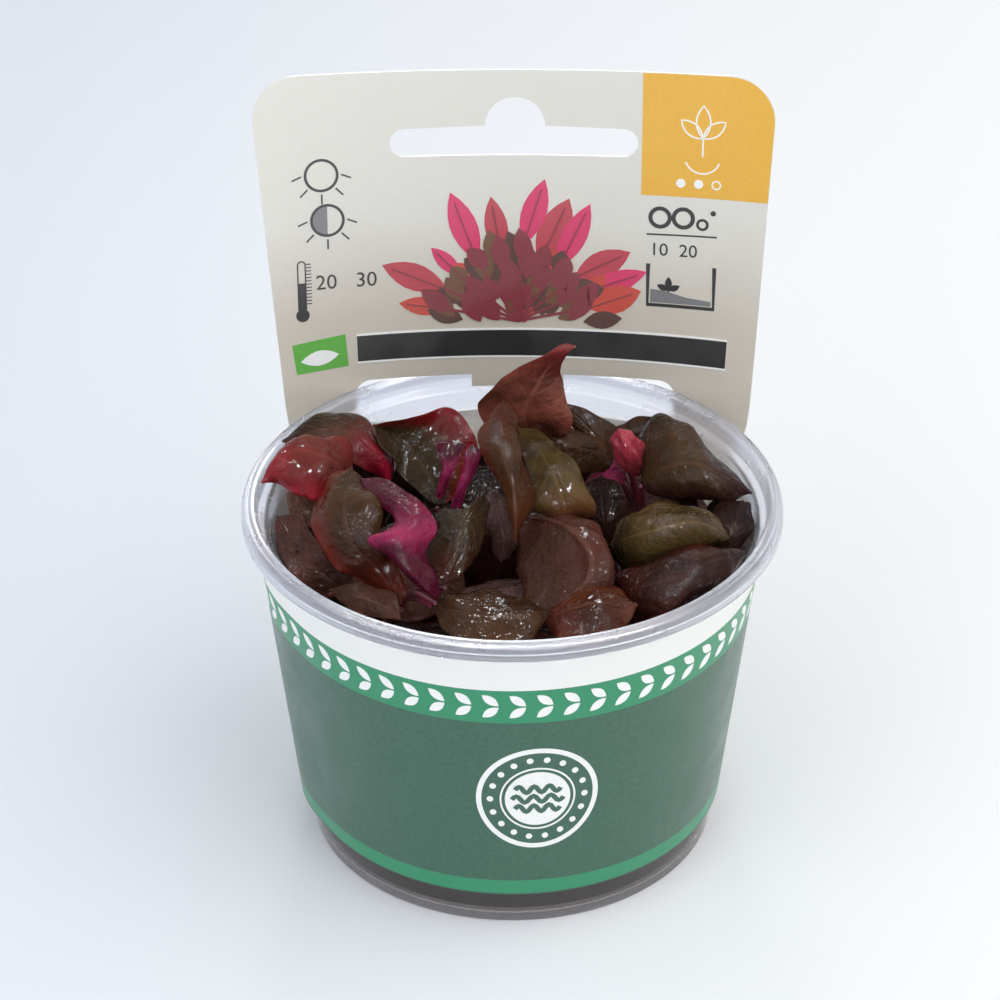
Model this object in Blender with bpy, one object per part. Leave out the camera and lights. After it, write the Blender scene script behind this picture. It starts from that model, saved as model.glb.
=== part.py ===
"""Potted aquarium plant: a clear tapered cup with a printed card wrapped round it and a tuft of curled,
wet red and olive leaves inside.

The origin is at the middle of the cup's base, +Z is up and -Y is the front, where the leaves spill forward.
Lengths below are in millimetres; mm() turns them into metres.
"""
import bpy
import bmesh
from math import cos, pi, radians, sin
from mathutils import Vector

# Cup
CUP_HEIGHT = 65.8
CUP_BASE_R = 36.5
CUP_TAPER = 0.113
CUP_WALL = 0.8
FLANGE_R = 47.5
FLANGE_SKIRT = 3.0
MOUTH_R = 44.6
LEDGE_Z = 62.4
CUP_SIDES = 48

# Card
CARD_THICK = 0.5
FIT_GAP = 0.3
SLEEVE_BOTTOM = 7.2
SLEEVE_TOP = 61.4
UNROLL_R = 44.0
INNER_END = -100
OUTER_END = 272
OVERLAP_START = 238
OVERLAP_FULL = 258
HEADER_TOP = 125.5
HEADER_CORNER = 8.0
HEADER_Y = 41.5
HEADER_LEAN = 0.0875
HEADER_BEND_R = 150.0
HEADER_FLATTENING = 2.0
HEADER_SIDES_LOW = (-41.8, 44.0)
HEADER_SIDES_HIGH = (-46.4, 47.0)
NOTCH_Z = 52.0
NOTCH_R = 4.0
NOTCH_END = 74.0
RIM_Z = 66.0
WINDOW = (-29.2, 30.2, 57.8, 66.3)
WINDOW_CORNER = 3.0
TAB = (-7.5, 9.5, 63.9)
SLOT = (-22.0, 22.6, 109.4, 114.7)
SLOT_BUMP = (0.5, 5.4, 115.0)
CARD_COLUMN = 6.0
CARD_ROW = 10.0

# Plant
MEDIUM_TOP = 15.0
MEDIUM_BOTTOM = 1.5
STEM_R = 1.1
STEM_SIDES = 8
LEAF_THICK = 0.5
LEAF_STATIONS = 7
LEAF_ACROSS = 5
STALK_HALF = 0.9
TIP_HALF = 0.35
BLADE_FOOT = 0.55
BLADE_TIP = 0.95

# Base colour, roughness and see-through share of each stuff
STUFF = {
    "clear_plastic": ((0.93, 0.94, 0.97), 0.08, 0.95),
    "printed_card": ((0.08, 0.16, 0.12), 0.35, 0.0),
    "jelly": ((0.07, 0.06, 0.05), 0.3, 0.0),
    "stem": ((0.35, 0.05, 0.12), 0.35, 0.0),
    "olive": ((0.12, 0.08, 0.035), 0.25, 0.0),
    "red_brown": ((0.16, 0.035, 0.025), 0.25, 0.0),
    "green": ((0.07, 0.08, 0.02), 0.2, 0.0),
    "magenta": ((0.35, 0.02, 0.12), 0.3, 0.0),
    "dark": ((0.05, 0.025, 0.02), 0.25, 0.0),
}

# Stems: foot and head, each as x, y, z
STEMS = [
    ((-8, 9, 15.3), (-12, 13, 47)),
    ((6, 11, 15.3), (9, 14, 49)),
    ((0, -3, 15.3), (1, -5, 42)),
    ((-15, -4, 15.3), (-21, -7, 47)),
    ((14, -6, 15.3), (21, -9, 48)),
    ((17, 12, 15.3), (24, 17, 48)),
    ((-14, 17, 15.3), (-20, 23, 45)),
]

# Leaves: stuff, full width, share of the length that is stalk, cupping of the left and right half in
# degrees (minus arches the half over), where the upper side looks at the foot and at the tip, and the
# midrib's points from foot to tip
LEAVES = [
    ("red_brown", 16, 0.08, (-48, -34), (0.1, -0.7, 0.7), (-0.6, -0.7, 0.4),
     [(-27, 9, 60), (-34, 4, 68), (-39, 3, 68), (-42.5, 4, 65)]),
    ("olive", 15, 0.1, (-30, -30), (0.3, -0.4, 0.9), (-0.3, -0.3, 0.9),
     [(-22, 21, 58), (-28, 18, 65), (-34, 16, 68), (-40.5, 16, 66)]),
    ("olive", 19, 0.08, (-65, -26), (-0.3, -0.9, 0.3), (-0.2, -0.6, 0.8),
     [(-17, -21, 55), (-24, -22, 64), (-29, -14, 69), (-26, -3, 71)]),
    ("magenta", 14, 0.3, (30, 30), (0.2, -0.6, 0.8), (-0.3, -0.6, 0.8),
     [(-9, -38, 63), (-13, -30, 68), (-17, -20, 72), (-21, -12, 74), (-26, -2, 73)]),
    ("green", 12, 0.12, (18, 18), (0.1, -0.95, 0.3), (0.3, -0.8, 0.5),
     [(-9, -15, 54), (-10, -16, 60), (-10, -12, 65), (-5, -4, 68)]),
    ("magenta", 8, 0.45, (16, 16), (-0.2, -0.9, 0.2), (0, -0.9, 0.4),
     [(-12.5, 13, 54), (-11, 12, 62), (-10, 13, 69)]),
    ("magenta", 6, 0.6, (14, 14), (0.1, -0.9, 0.2), (0.2, -0.9, 0.3),
     [(-9, 8, 56), (-8, 9, 63), (-6, 10, 71)]),
    ("green", 20, 0.1, (34, 34), (0, -0.9, 0.5), (-0.2, -0.8, 0.5),
     [(-7, 24, 52), (-12, 22, 58), (-18, 21, 61.5), (-25, 22, 64)]),
    ("red_brown", 21, 0.05, (-14, -14), (-0.4, -0.9, 0.3), (-0.3, -0.9, 0.3),
     [(-1, 12, 72), (1, 10, 77), (5, 11, 82), (10, 15, 88.5)]),
    ("olive", 9.5, 0.03, (-44, -44), (-0.2, -0.6, 0.8), (-0.2, -0.95, 0.1),
     [(-3, 7, 81), (-4, 0, 80), (-2.5, -5, 74), (-0.5, -9, 68), (0.5, -11, 62)]),
    ("dark", 8, 0.1, (15, 15), (0, -0.9, 0.4), (0, -0.9, 0.4),
     [(-4, 1, 62), (-3, -3, 58), (-3, -6, 53)]),
    ("green", 15, 0.08, (-42, -42), (0.3, -0.5, 0.8), (0.4, -0.8, 0.5),
     [(3, 7, 70.5), (7, 1, 71), (10, -3, 67), (11, -5, 60)]),
    ("red_brown", 21, 0.08, (-30, -58), (0, -0.4, 0.9), (0.3, -0.9, 0.2),
     [(2, -7, 60), (6, -14, 64.5), (10, -21, 64), (9, -25, 57)]),
    ("olive", 13, 0.1, (-22, -22), (0, -0.6, 0.8), (0.1, -0.6, 0.8),
     [(-16, -29, 58), (-6, -33, 61), (6, -33, 61)]),
    ("red_brown", 12, 0.08, (-22, -22), (0, -0.6, 0.8), (0.2, -0.6, 0.8),
     [(7, -30, 57), (14, -32, 61), (22, -31, 61)]),
    ("red_brown", 14, 0.08, (-25, -42), (0.1, -0.5, 0.8), (0.4, -0.5, 0.8),
     [(15, -21, 58), (23, -25, 63), (31, -22, 65), (38, -14, 64)]),
    ("green", 16, 0.08, (-38, -38), (0, -0.6, 0.8), (0.2, -0.5, 0.8),
     [(17, -9, 58), (24, -12, 64), (31, -11, 64.5), (36, -8, 60)]),
    ("red_brown", 7, 0.1, (12, 12), (-0.7, -0.6, 0.4), (-0.7, -0.6, 0.4),
     [(38, -3, 57), (39, -3, 61), (40, -3, 65)]),
    ("olive", 21, 0.05, (-22, -58), (0, -0.6, 0.8), (0.3, -0.7, 0.6),
     [(23, 11, 63), (29, 7, 69), (35, 6, 69), (42, 3, 65.5)]),
    ("dark", 11, 0.1, (-14, -14), (0, -0.8, 0.5), (0, -0.8, 0.5),
     [(21, 25, 58), (23, 24, 64), (28, 24, 68)]),
    ("olive", 13, 0.08, (-18, -18), (-0.1, -0.8, 0.5), (-0.1, -0.8, 0.5),
     [(20, 28, 60), (15, 26, 65), (10, 26, 70)]),
    ("olive", 12, 0.08, (-24, -24), (0, -0.3, 0.9), (-0.2, -0.6, 0.8),
     [(18, 19, 62), (12, 17, 66), (7, 17, 68), (3, 19, 68)]),
    ("magenta", 8, 0.1, (-12, -12), (0, -0.7, 0.7), (0, -0.7, 0.7),
     [(13, 13, 56), (17, 11, 59), (21, 9, 61)]),
    ("dark", 9, 0.1, (12, 12), (0.2, -0.9, 0.2), (0.2, -0.9, 0.2),
     [(16, -1, 49), (16, 2, 54), (16, 6, 58)]),
    ("dark", 14, 0.1, (-24, -24), (-0.3, -0.6, 0.8), (-0.5, -0.5, 0.7),
     [(-27, -10, 51), (-34, -8, 58), (-37, -4, 61)]),
    ("red_brown", 10, 0.1, (-16, -16), (-0.2, -0.7, 0.7), (-0.1, -0.7, 0.7),
     [(-31, -20, 50), (-26, -27, 53), (-18, -33, 54)]),
    ("red_brown", 8, 0.1, (-12, -12), (-0.3, -0.8, 0.5), (-0.3, -0.8, 0.5),
     [(-30, 3, 52), (-34, 1, 56), (-38, 1, 57)]),
    ("dark", 20, 0.1, (-16, -16), (0, -0.4, 0.9), (0, -0.6, 0.8),
     [(4, -13, 50), (4, -23, 54), (1, -31, 54)]),
    ("dark", 18, 0.1, (-14, -14), (0.3, -0.2, 0.9), (0.4, -0.4, 0.8),
     [(22, -2, 50), (31, -5, 53), (38, -8, 52)]),
    ("dark", 19, 0.1, (-14, -14), (0, -0.2, 0.95), (0, -0.2, 0.95),
     [(-10, -2, 48), (-19, -1, 54), (-27, 2, 53)]),
    ("dark", 18, 0.1, (-14, -14), (0, 0.3, 0.9), (0, 0.4, 0.9),
     [(-3, 20, 48), (-3, 29, 53), (-2, 36, 51)]),
    ("dark", 17, 0.1, (-14, -14), (0.4, 0.2, 0.9), (0.5, 0.3, 0.8),
     [(25, 12, 51), (29, 18, 54), (33, 23, 53)]),
    ("dark", 17, 0.1, (-16, -16), (0, -0.5, 0.9), (-0.2, -0.6, 0.8),
     [(-10, -11, 47), (-11, -22, 51), (-10, -31, 52)]),
    ("dark", 15, 0.1, (-14, -14), (0.2, -0.5, 0.8), (0.2, -0.5, 0.8),
     [(18, -16, 50), (23, -23, 55), (30, -26, 54)]),
    ("dark", 14, 0.1, (-12, -12), (0, -0.9, 0.4), (0, -0.9, 0.4),
     [(9, 5, 33), (9, 4, 43), (9, 2, 52)]),
    ("dark", 15, 0.1, (-12, -12), (0, -0.9, 0.4), (0, -0.9, 0.4),
     [(-3, 9, 34), (-3, 7, 45), (-2, 4, 55)]),
    ("dark", 14, 0.1, (-12, -12), (0, -0.9, 0.4), (0, -0.9, 0.4),
     [(-17, 5, 30), (-17, 4, 38), (-17, 3, 46)]),
    ("dark", 13, 0.1, (-12, -12), (0, -0.9, 0.4), (0, -0.9, 0.4),
     [(25, 2, 32), (26, 1, 41), (26, 0, 48)]),
    ("dark", 15, 0.1, (-12, -12), (0, -0.9, 0.4), (0, -0.9, 0.4),
     [(5, -12, 30), (5, -13, 38), (4, -14, 46)]),
    ("dark", 14, 0.1, (-12, -12), (0, -0.9, 0.4), (0, -0.9, 0.4),
     [(-12, -12, 28), (-13, -13, 36), (-13, -14, 44)]),
    ("dark", 13, 0.1, (-12, -12), (0, -0.9, 0.4), (0, -0.9, 0.4),
     [(18, -14, 30), (19, -15, 38), (19, -16, 45)]),
]

# Closed young leaf: middle, half sizes and lean
BUD = ((21, 14, 66), (2.6, 2.4, 4.4), 0.35)


def mm(*lengths):
    """Millimetres to metres."""
    scaled = [0.001 * value for value in lengths]
    return scaled[0] if len(scaled) == 1 else Vector(scaled)


def smoothstep(value, low, high):
    t = min(max((value - low) / (high - low), 0.0), 1.0)
    return t * t * (3.0 - 2.0 * t)


def stuff_material(name):
    material = bpy.data.materials.get(name)
    if material is None:
        colour, roughness, clear = STUFF[name]
        material = bpy.data.materials.new(name)
        material.use_nodes = True
        shader = material.node_tree.nodes["Principled BSDF"]
        shader.inputs["Base Color"].default_value = (*colour, 1.0)
        shader.inputs["Roughness"].default_value = roughness
        shader.inputs["Transmission Weight"].default_value = clear
    return material


def new_object(name, mesh, stuff):
    obj = bpy.data.objects.new(name, mesh)
    bpy.context.scene.collection.objects.link(obj)
    mesh.materials.append(stuff_material(stuff))
    mesh.shade_smooth()
    mesh.set_sharp_from_angle(angle=radians(35))
    return obj


def mesh_from_bmesh(name, shape):
    bmesh.ops.recalc_face_normals(shape, faces=shape.faces)
    mesh = bpy.data.meshes.new(name)
    shape.to_mesh(mesh)
    shape.free()
    return mesh


def turned_mesh(name, profile, sides):
    """Spin a closed profile of radius and height pairs, both ends on the axis, round Z."""
    shape = bmesh.new()
    corners = [shape.verts.new(mm(radius, 0, height)) for radius, height in profile]
    edges = [shape.edges.new(pair) for pair in zip(corners, corners[1:])]
    bmesh.ops.spin(shape, geom=corners + edges, cent=(0, 0, 0), axis=(0, 0, 1), angle=2 * pi, steps=sides)
    bmesh.ops.remove_doubles(shape, verts=shape.verts, dist=1e-6)
    return mesh_from_bmesh(name, shape)


def wall_radius(height):
    """Outer radius of the cup's tapered wall."""
    return CUP_BASE_R + CUP_TAPER * height


def make_cup():
    shoulder = LEDGE_Z - 0.5
    skirt_foot = CUP_HEIGHT - FLANGE_SKIRT
    profile = [
        (0, 0),
        (CUP_BASE_R - 0.8, 0),
        (CUP_BASE_R, 0.8),
        (wall_radius(shoulder), shoulder),
        (MOUTH_R + 0.7, shoulder),
        (MOUTH_R + 0.7, CUP_HEIGHT - 0.9),
        (FLANGE_R - 0.7, CUP_HEIGHT - 0.9),
        (FLANGE_R - 0.7, skirt_foot),
        (FLANGE_R, skirt_foot),
        (FLANGE_R, CUP_HEIGHT - 0.9),
        (FLANGE_R - 0.5, CUP_HEIGHT - 0.35),
        (FLANGE_R - 1.0, CUP_HEIGHT - 0.2),
        (FLANGE_R - 1.4, CUP_HEIGHT),
        (MOUTH_R + 0.4, CUP_HEIGHT),
        (MOUTH_R, CUP_HEIGHT - 0.5),
        (MOUTH_R, LEDGE_Z + 0.4),
        (wall_radius(LEDGE_Z) - CUP_WALL, LEDGE_Z),
        (CUP_BASE_R - CUP_WALL + 0.1, 1.8),
        (CUP_BASE_R - 1.6, 1.0),
        (0, 1.0),
    ]
    return new_object("cup", turned_mesh("cup", profile, CUP_SIDES), "clear_plastic")


def arc(centre_u, centre_z, radius, start, end, steps):
    """Points round a circle from the start to the end angle in degrees."""
    angles = [radians(start + (end - start) * step / steps) for step in range(steps + 1)]
    return [(centre_u + radius * cos(angle), centre_z + radius * sin(angle)) for angle in angles]


def card_outline():
    """The die-cut blank's outer edge, anticlockwise, in distance along the wrap and height."""
    left_end = UNROLL_R * radians(INNER_END)
    right_end = UNROLL_R * radians(OUTER_END)
    left_low, right_low = HEADER_SIDES_LOW
    left_high, right_high = HEADER_SIDES_HIGH
    foot_z = NOTCH_Z + NOTCH_R
    corner_z = HEADER_TOP - HEADER_CORNER
    points = [(left_end, SLEEVE_BOTTOM), (right_end, SLEEVE_BOTTOM), (right_end, SLEEVE_TOP)]
    points.append((NOTCH_END, SLEEVE_TOP))
    points += arc(right_low + NOTCH_R, foot_z, NOTCH_R, 270, 180, 4)
    points += arc(right_high - HEADER_CORNER, corner_z, HEADER_CORNER, 0, 90, 6)
    points += arc(left_high + HEADER_CORNER, corner_z, HEADER_CORNER, 90, 180, 6)
    points += arc(left_low - NOTCH_R, foot_z, NOTCH_R, 0, -90, 4)
    points.append((-NOTCH_END, SLEEVE_TOP))
    points.append((left_end, SLEEVE_TOP))
    return points


def window_outline():
    """The window behind the flange, with the small tab that hangs into it."""
    left, right, low, high = WINDOW
    tab_left, tab_right, tab_low = TAB
    inset = WINDOW_CORNER
    points = arc(left + inset, low + inset, inset, 180, 270, 3)
    points += arc(right - inset, low + inset, inset, 270, 360, 3)
    points += arc(right - inset, high - inset, inset, 0, 90, 3)
    points += [(tab_right, high), (tab_right, tab_low), (tab_left, tab_low), (tab_left, high)]
    points += arc(left + inset, high - inset, inset, 90, 180, 3)
    return points


def slot_outline():
    """The hang slot: a long slot with round ends and a round rise in the middle of its top edge."""
    left, right, low, high = SLOT
    end_r = (high - low) / 2
    bump_u, bump_r, bump_z = SLOT_BUMP
    points = arc(left + end_r, low + end_r, end_r, 90, 270, 6)
    points += arc(right - end_r, low + end_r, end_r, -90, 90, 6)
    points += arc(bump_u, bump_z, bump_r, 0, 180, 8)
    return points


def prism(name, outline):
    """A cutter: the outline of along and height pairs, pushed through the thickness of the sheet."""
    shape = bmesh.new()
    face = shape.faces.new([shape.verts.new(mm(along, -3, height)) for along, height in outline])
    pushed = bmesh.ops.extrude_face_region(shape, geom=[face])
    moved = [item for item in pushed["geom"] if isinstance(item, bmesh.types.BMVert)]
    bmesh.ops.translate(shape, verts=moved, vec=mm(0, 6, 0))
    cutter = bpy.data.objects.new(name, mesh_from_bmesh(name, shape))
    bpy.context.scene.collection.objects.link(cutter)
    cutter.hide_render = True
    cutter.display_type = "WIRE"
    return cutter


def flat_sheet():
    """The uncut sheet, gridded finely enough to bend, with its outer face towards +Y."""
    left = UNROLL_R * radians(INNER_END) - 1
    right = UNROLL_R * radians(OUTER_END) + 1
    low, high = SLEEVE_BOTTOM - 1, HEADER_TOP + 1
    columns = int((right - left) / CARD_COLUMN)
    rows = int((high - low) / CARD_ROW)
    shape = bmesh.new()
    bmesh.ops.create_grid(shape, x_segments=columns, y_segments=rows, size=0.5)
    for vert in shape.verts:
        along = left + (vert.co.x + 0.5) * (right - left)
        height = low + (vert.co.y + 0.5) * (high - low)
        vert.co = mm(along, -CARD_THICK / 2, height)
    pushed = bmesh.ops.extrude_face_region(shape, geom=list(shape.faces))
    moved = [item for item in pushed["geom"] if isinstance(item, bmesh.types.BMVert)]
    bmesh.ops.translate(shape, verts=moved, vec=mm(0, CARD_THICK, 0))
    return mesh_from_bmesh("card_sheet", shape)


def sleeve_point(along, height):
    """A point of the card's middle surface where it hugs the tapered cup."""
    angle = along / UNROLL_R
    lift = smoothstep(angle, radians(OVERLAP_START), radians(OVERLAP_FULL))
    radius = wall_radius(height) + FIT_GAP + CARD_THICK / 2 + lift * (CARD_THICK + FIT_GAP)
    return Vector((radius * sin(angle), radius * cos(angle), height))


def header_point(along, height):
    """A point of the card's middle surface on the gently bent header, which leans back."""
    bend = HEADER_BEND_R + HEADER_FLATTENING * max(height - RIM_Z, 0)
    middle_y = HEADER_Y + HEADER_LEAN * (height - RIM_Z)
    angle = along / bend
    return Vector((bend * sin(angle), middle_y - bend * (1 - cos(angle)), height))


def card_point(along, height):
    """The sleeve's shape low down, the header's above the flange, and a smooth flare between them."""
    reach = abs(along)
    if reach > 62:
        return sleeve_point(along, height)
    beside = 1 - smoothstep(reach, 44, 62)
    off_middle = 1 if height > 60 else smoothstep(reach, 14, 26)
    share = smoothstep(height, 38, 62.5) * beside * off_middle
    return sleeve_point(along, height).lerp(header_point(along, height), share)


def bend_card(flat):
    """Map a point of the flat sheet onto the bent card, keeping its thickness."""
    along, depth, height = flat * 1000
    step = 0.05
    across = card_point(along + step, height) - card_point(along - step, height)
    upward = card_point(along, height + step) - card_point(along, height - step)
    outward = upward.cross(across).normalized()
    return mm(*(card_point(along, height) + depth * outward))


def make_card():
    blank = bpy.data.objects.new("card_blank", flat_sheet())
    bpy.context.scene.collection.objects.link(blank)
    cuts = [
        ("card_trim", card_outline(), "INTERSECT"),
        ("card_window", window_outline(), "DIFFERENCE"),
        ("card_slot", slot_outline(), "DIFFERENCE"),
    ]
    cutters = []
    for name, outline, operation in cuts:
        cutter = prism(name, outline)
        cut = blank.modifiers.new(name, "BOOLEAN")
        cut.operation = operation
        cut.solver = "EXACT"
        cut.object = cutter
        cutters.append(cutter)
    bpy.context.view_layer.update()
    evaluated = blank.evaluated_get(bpy.context.evaluated_depsgraph_get())
    mesh = bpy.data.meshes.new_from_object(evaluated)
    for obj in [blank] + cutters:
        bpy.data.objects.remove(obj)
    for vert in mesh.vertices:
        vert.co = bend_card(vert.co)
    mesh.materials.clear()
    return new_object("card", mesh, "printed_card")


def make_medium():
    wall = CUP_WALL + 2 * FIT_GAP
    profile = [
        (0, MEDIUM_BOTTOM),
        (CUP_BASE_R - 3.0, MEDIUM_BOTTOM),
        (wall_radius(3) - wall - 0.3, 3),
        (wall_radius(MEDIUM_TOP) - wall, MEDIUM_TOP - 1),
        (wall_radius(MEDIUM_TOP) - wall - 1.5, MEDIUM_TOP - 0.3),
        (0, MEDIUM_TOP - 0.3),
    ]
    return new_object("growing_medium", turned_mesh("growing_medium", profile, 32), "jelly")


def smooth_path(points, count):
    """Points evenly spread in parameter along a Catmull-Rom curve through the given ones."""
    knots = [Vector(point) for point in points]
    knots = [2 * knots[0] - knots[1]] + knots + [2 * knots[-1] - knots[-2]]
    spans = len(knots) - 3
    path = []
    for index in range(count):
        place = spans * index / (count - 1)
        span = min(int(place), spans - 1)
        t = place - span
        a, b, c, d = knots[span:span + 4]
        path.append(0.5 * (2 * b + (c - a) * t + (2 * a - 5 * b + 4 * c - d) * t * t
                           + (3 * b - a - 3 * c + d) * t ** 3))
    return path


def blade_half_width(t, width, stalk):
    """Half width of a leaf at t from foot to tip: a narrow stalk, a blade widest before its middle, a point."""
    blade = max(t - stalk, 0) / (1 - stalk)
    widest = BLADE_FOOT / (BLADE_FOOT + BLADE_TIP)
    peak = widest ** BLADE_FOOT * (1 - widest) ** BLADE_TIP
    half = 0.5 * width * blade ** BLADE_FOOT * (1 - blade) ** BLADE_TIP / peak
    return max(half, STALK_HALF if t < 0.5 else TIP_HALF)


def make_leaf(name, stuff, width, stalk, cupping, face_foot, face_tip, points):
    """A leaf blade as a grid across its midrib, each half bent by the cupping angle, then thickened."""
    path = smooth_path(points, LEAF_STATIONS)
    foot_up, tip_up = Vector(face_foot), Vector(face_tip)
    corners = []
    for station, middle in enumerate(path):
        t = station / (LEAF_STATIONS - 1)
        ahead = path[min(station + 1, LEAF_STATIONS - 1)] - path[max(station - 1, 0)]
        ahead.normalize()
        up = foot_up.lerp(tip_up, t)
        up = (up - up.dot(ahead) * ahead).normalized()
        side = ahead.cross(up)
        half = blade_half_width(t, width, stalk)
        for step in range(LEAF_ACROSS):
            across = 2 * step / (LEAF_ACROSS - 1) - 1
            turn = radians(cupping[across > 0]) * abs(across)
            out = half * across * (sin(turn) / turn if turn else 1)
            rise = half * abs(across) * ((1 - cos(turn)) / turn if turn else 0)
            corners.append(mm(*(middle + out * side + rise * up)))
    faces = []
    for station in range(LEAF_STATIONS - 1):
        for step in range(LEAF_ACROSS - 1):
            first = station * LEAF_ACROSS + step
            faces.append((first, first + 1, first + LEAF_ACROSS + 1, first + LEAF_ACROSS))
    mesh = bpy.data.meshes.new(name)
    mesh.from_pydata(corners, [], faces)
    leaf = new_object(name, mesh, stuff)
    thick = leaf.modifiers.new("thickness", "SOLIDIFY")
    thick.thickness = mm(LEAF_THICK)
    thick.offset = 0
    return leaf


def make_stem(name, foot, head):
    """A slightly bowed round stem with flat ends."""
    foot, head = Vector(foot), Vector(head)
    bow = Vector((head.y - foot.y, foot.x - head.x, 0)) * 0.15
    path = smooth_path([foot, (foot + head) / 2 + bow, head], 5)
    curve = bpy.data.curves.new(name, "CURVE")
    curve.dimensions = "3D"
    curve.bevel_depth = mm(STEM_R)
    curve.bevel_resolution = (STEM_SIDES - 4) // 2
    curve.use_fill_caps = True
    line = curve.splines.new("POLY")
    line.points.add(len(path) - 1)
    for point, place in zip(line.points, path):
        point.co = (*mm(*place), 1)
    curve.materials.append(stuff_material("stem"))
    stem = bpy.data.objects.new(name, curve)
    bpy.context.scene.collection.objects.link(stem)
    return stem


def make_bud():
    middle, half_sizes, lean = BUD
    shape = bmesh.new()
    bmesh.ops.create_uvsphere(shape, u_segments=10, v_segments=7, radius=1)
    for vert in shape.verts:
        place = Vector([size * value for size, value in zip(half_sizes, vert.co)])
        place.x -= lean * place.z
        vert.co = mm(*(Vector(middle) + place))
    return new_object("bud_crimson", mesh_from_bmesh("bud_crimson", shape), "magenta")


def main():
    for obj in list(bpy.data.objects):
        bpy.data.objects.remove(obj)
    make_cup()
    make_card()
    make_medium()
    for number, (foot, head) in enumerate(STEMS, 1):
        make_stem(f"stem_{number:02d}", foot, head)
    for number, leaf in enumerate(LEAVES, 1):
        make_leaf(f"leaf_{number:02d}", *leaf)
    make_bud()


main()
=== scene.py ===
# %% [markdown]
# # A potted aquarium plant in Blender
# The object is a clear tapered cup with a tuft of curled, wet leaves, and one printed card that is folded
# round the cup and rises behind it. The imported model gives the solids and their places. This file dresses
# them: each cell makes one piece or one finish, and the cell before it says how and why.

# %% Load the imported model
import bpy
import bmesh
import numpy as np
from math import atan2, cos, pi, radians, sin, sqrt
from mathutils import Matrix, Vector, noise


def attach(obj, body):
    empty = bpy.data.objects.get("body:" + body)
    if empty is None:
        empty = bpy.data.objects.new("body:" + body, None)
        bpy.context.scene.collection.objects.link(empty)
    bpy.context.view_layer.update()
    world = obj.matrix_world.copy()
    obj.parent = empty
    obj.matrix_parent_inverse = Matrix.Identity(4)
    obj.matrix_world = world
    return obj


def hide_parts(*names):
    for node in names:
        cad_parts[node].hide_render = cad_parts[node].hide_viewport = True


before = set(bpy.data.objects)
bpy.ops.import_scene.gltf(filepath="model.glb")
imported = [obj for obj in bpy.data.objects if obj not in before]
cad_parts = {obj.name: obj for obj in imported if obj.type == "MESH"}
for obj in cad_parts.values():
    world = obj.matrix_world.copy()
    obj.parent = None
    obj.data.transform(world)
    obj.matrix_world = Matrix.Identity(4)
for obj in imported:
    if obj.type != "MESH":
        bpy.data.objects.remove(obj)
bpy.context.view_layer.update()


# %% [markdown]
# Every length below is typed in millimetres, because that is how such a cup is measured. Blender works in
# metres, so one helper turns a length or a place into metres. The others make a mesh, an object or a
# finished piece in one line.

# %% Units and small helpers
def mm(*lengths):
    scaled = [0.001 * value for value in lengths]
    return scaled[0] if len(scaled) == 1 else Vector(scaled)


def smoothstep(value, low, high):
    t = min(max((value - low) / (high - low), 0.0), 1.0)
    return t * t * (3.0 - 2.0 * t)


def srgb(red, green, blue):
    """A colour read by eye as 0 to 255, as the linear colour that a shader takes."""
    linear = [((value / 255 + 0.055) / 1.055) ** 2.4 if value > 10 else value / 3294.6
              for value in (red, green, blue)]
    return (*linear, 1.0)


def mesh_of(shape, name):
    """The mesh of a finished bmesh, which is freed."""
    mesh = bpy.data.meshes.new(name)
    shape.to_mesh(mesh)
    shape.free()
    return mesh


def line_mesh(points, closed=False):
    """A mesh of edges only, through points in metres."""
    mesh = bpy.data.meshes.new("line")
    links = [(i, i + 1) for i in range(len(points) - 1)] + ([(len(points) - 1, 0)] if closed else [])
    mesh.from_pydata(points, links, [])
    return mesh


def new_object(name, data, *materials):
    obj = bpy.data.objects.new(name, data)
    bpy.context.scene.collection.objects.link(obj)
    if materials:
        data.materials.clear()
        for material in materials:
            data.materials.append(material)
    return obj


def made_real(obj):
    """The plain mesh that an object's modifiers or its curve leave. The object itself is removed."""
    bpy.context.view_layer.update()
    mesh = bpy.data.meshes.new_from_object(obj.evaluated_get(bpy.context.evaluated_depsgraph_get()))
    bpy.data.objects.remove(obj)
    return mesh


def smooth_faces(mesh, sharp_from):
    """Smooth shading, but for edges that turn by more than an angle in degrees."""
    mesh.shade_smooth()
    mesh.set_sharp_from_angle(angle=radians(sharp_from))
    return mesh


def store(mesh, name, kind, values):
    """Keep a number or a vector at each corner, under a name that a finish or a node tree reads."""
    key = "vector" if kind == "FLOAT_VECTOR" else "value"
    mesh.attributes.new(name, kind, "POINT").data.foreach_set(key, values)


def dress(piece, slot, *nodes):
    """The piece rides in the pot and stands for its solids, which are hidden. The slot is not used."""
    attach(piece, "root")
    if nodes:
        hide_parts(*nodes)
    print(piece.name, len(piece.data.polygons), "faces")


# %% [markdown]
# ## Camera
# The photograph looks down at 32 degrees from well back, so the ellipses of the rim and the base stay
# nearly the same shape. The camera is placed by that angle and a distance from the middle of the mouth.
# A lens of 123 mm fills the frame, and a small shift puts the pot where it stands in the picture.

# %% Camera
CUP_HEIGHT = 65.8
VIEW_DOWN = radians(32)
VIEW_DISTANCE = 600.0
camera_data = bpy.data.cameras.new("camera")
camera_data.lens = 123.4
camera_data.shift_x = -0.0122
camera_data.shift_y = -0.0057
camera_data.clip_start = 0.01
camera = new_object("camera", camera_data)
camera.location = mm(0, -VIEW_DISTANCE * cos(VIEW_DOWN), CUP_HEIGHT + VIEW_DISTANCE * sin(VIEW_DOWN))
camera.rotation_euler = (pi / 2 - VIEW_DOWN, 0, 0)
bpy.context.scene.camera = camera


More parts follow.
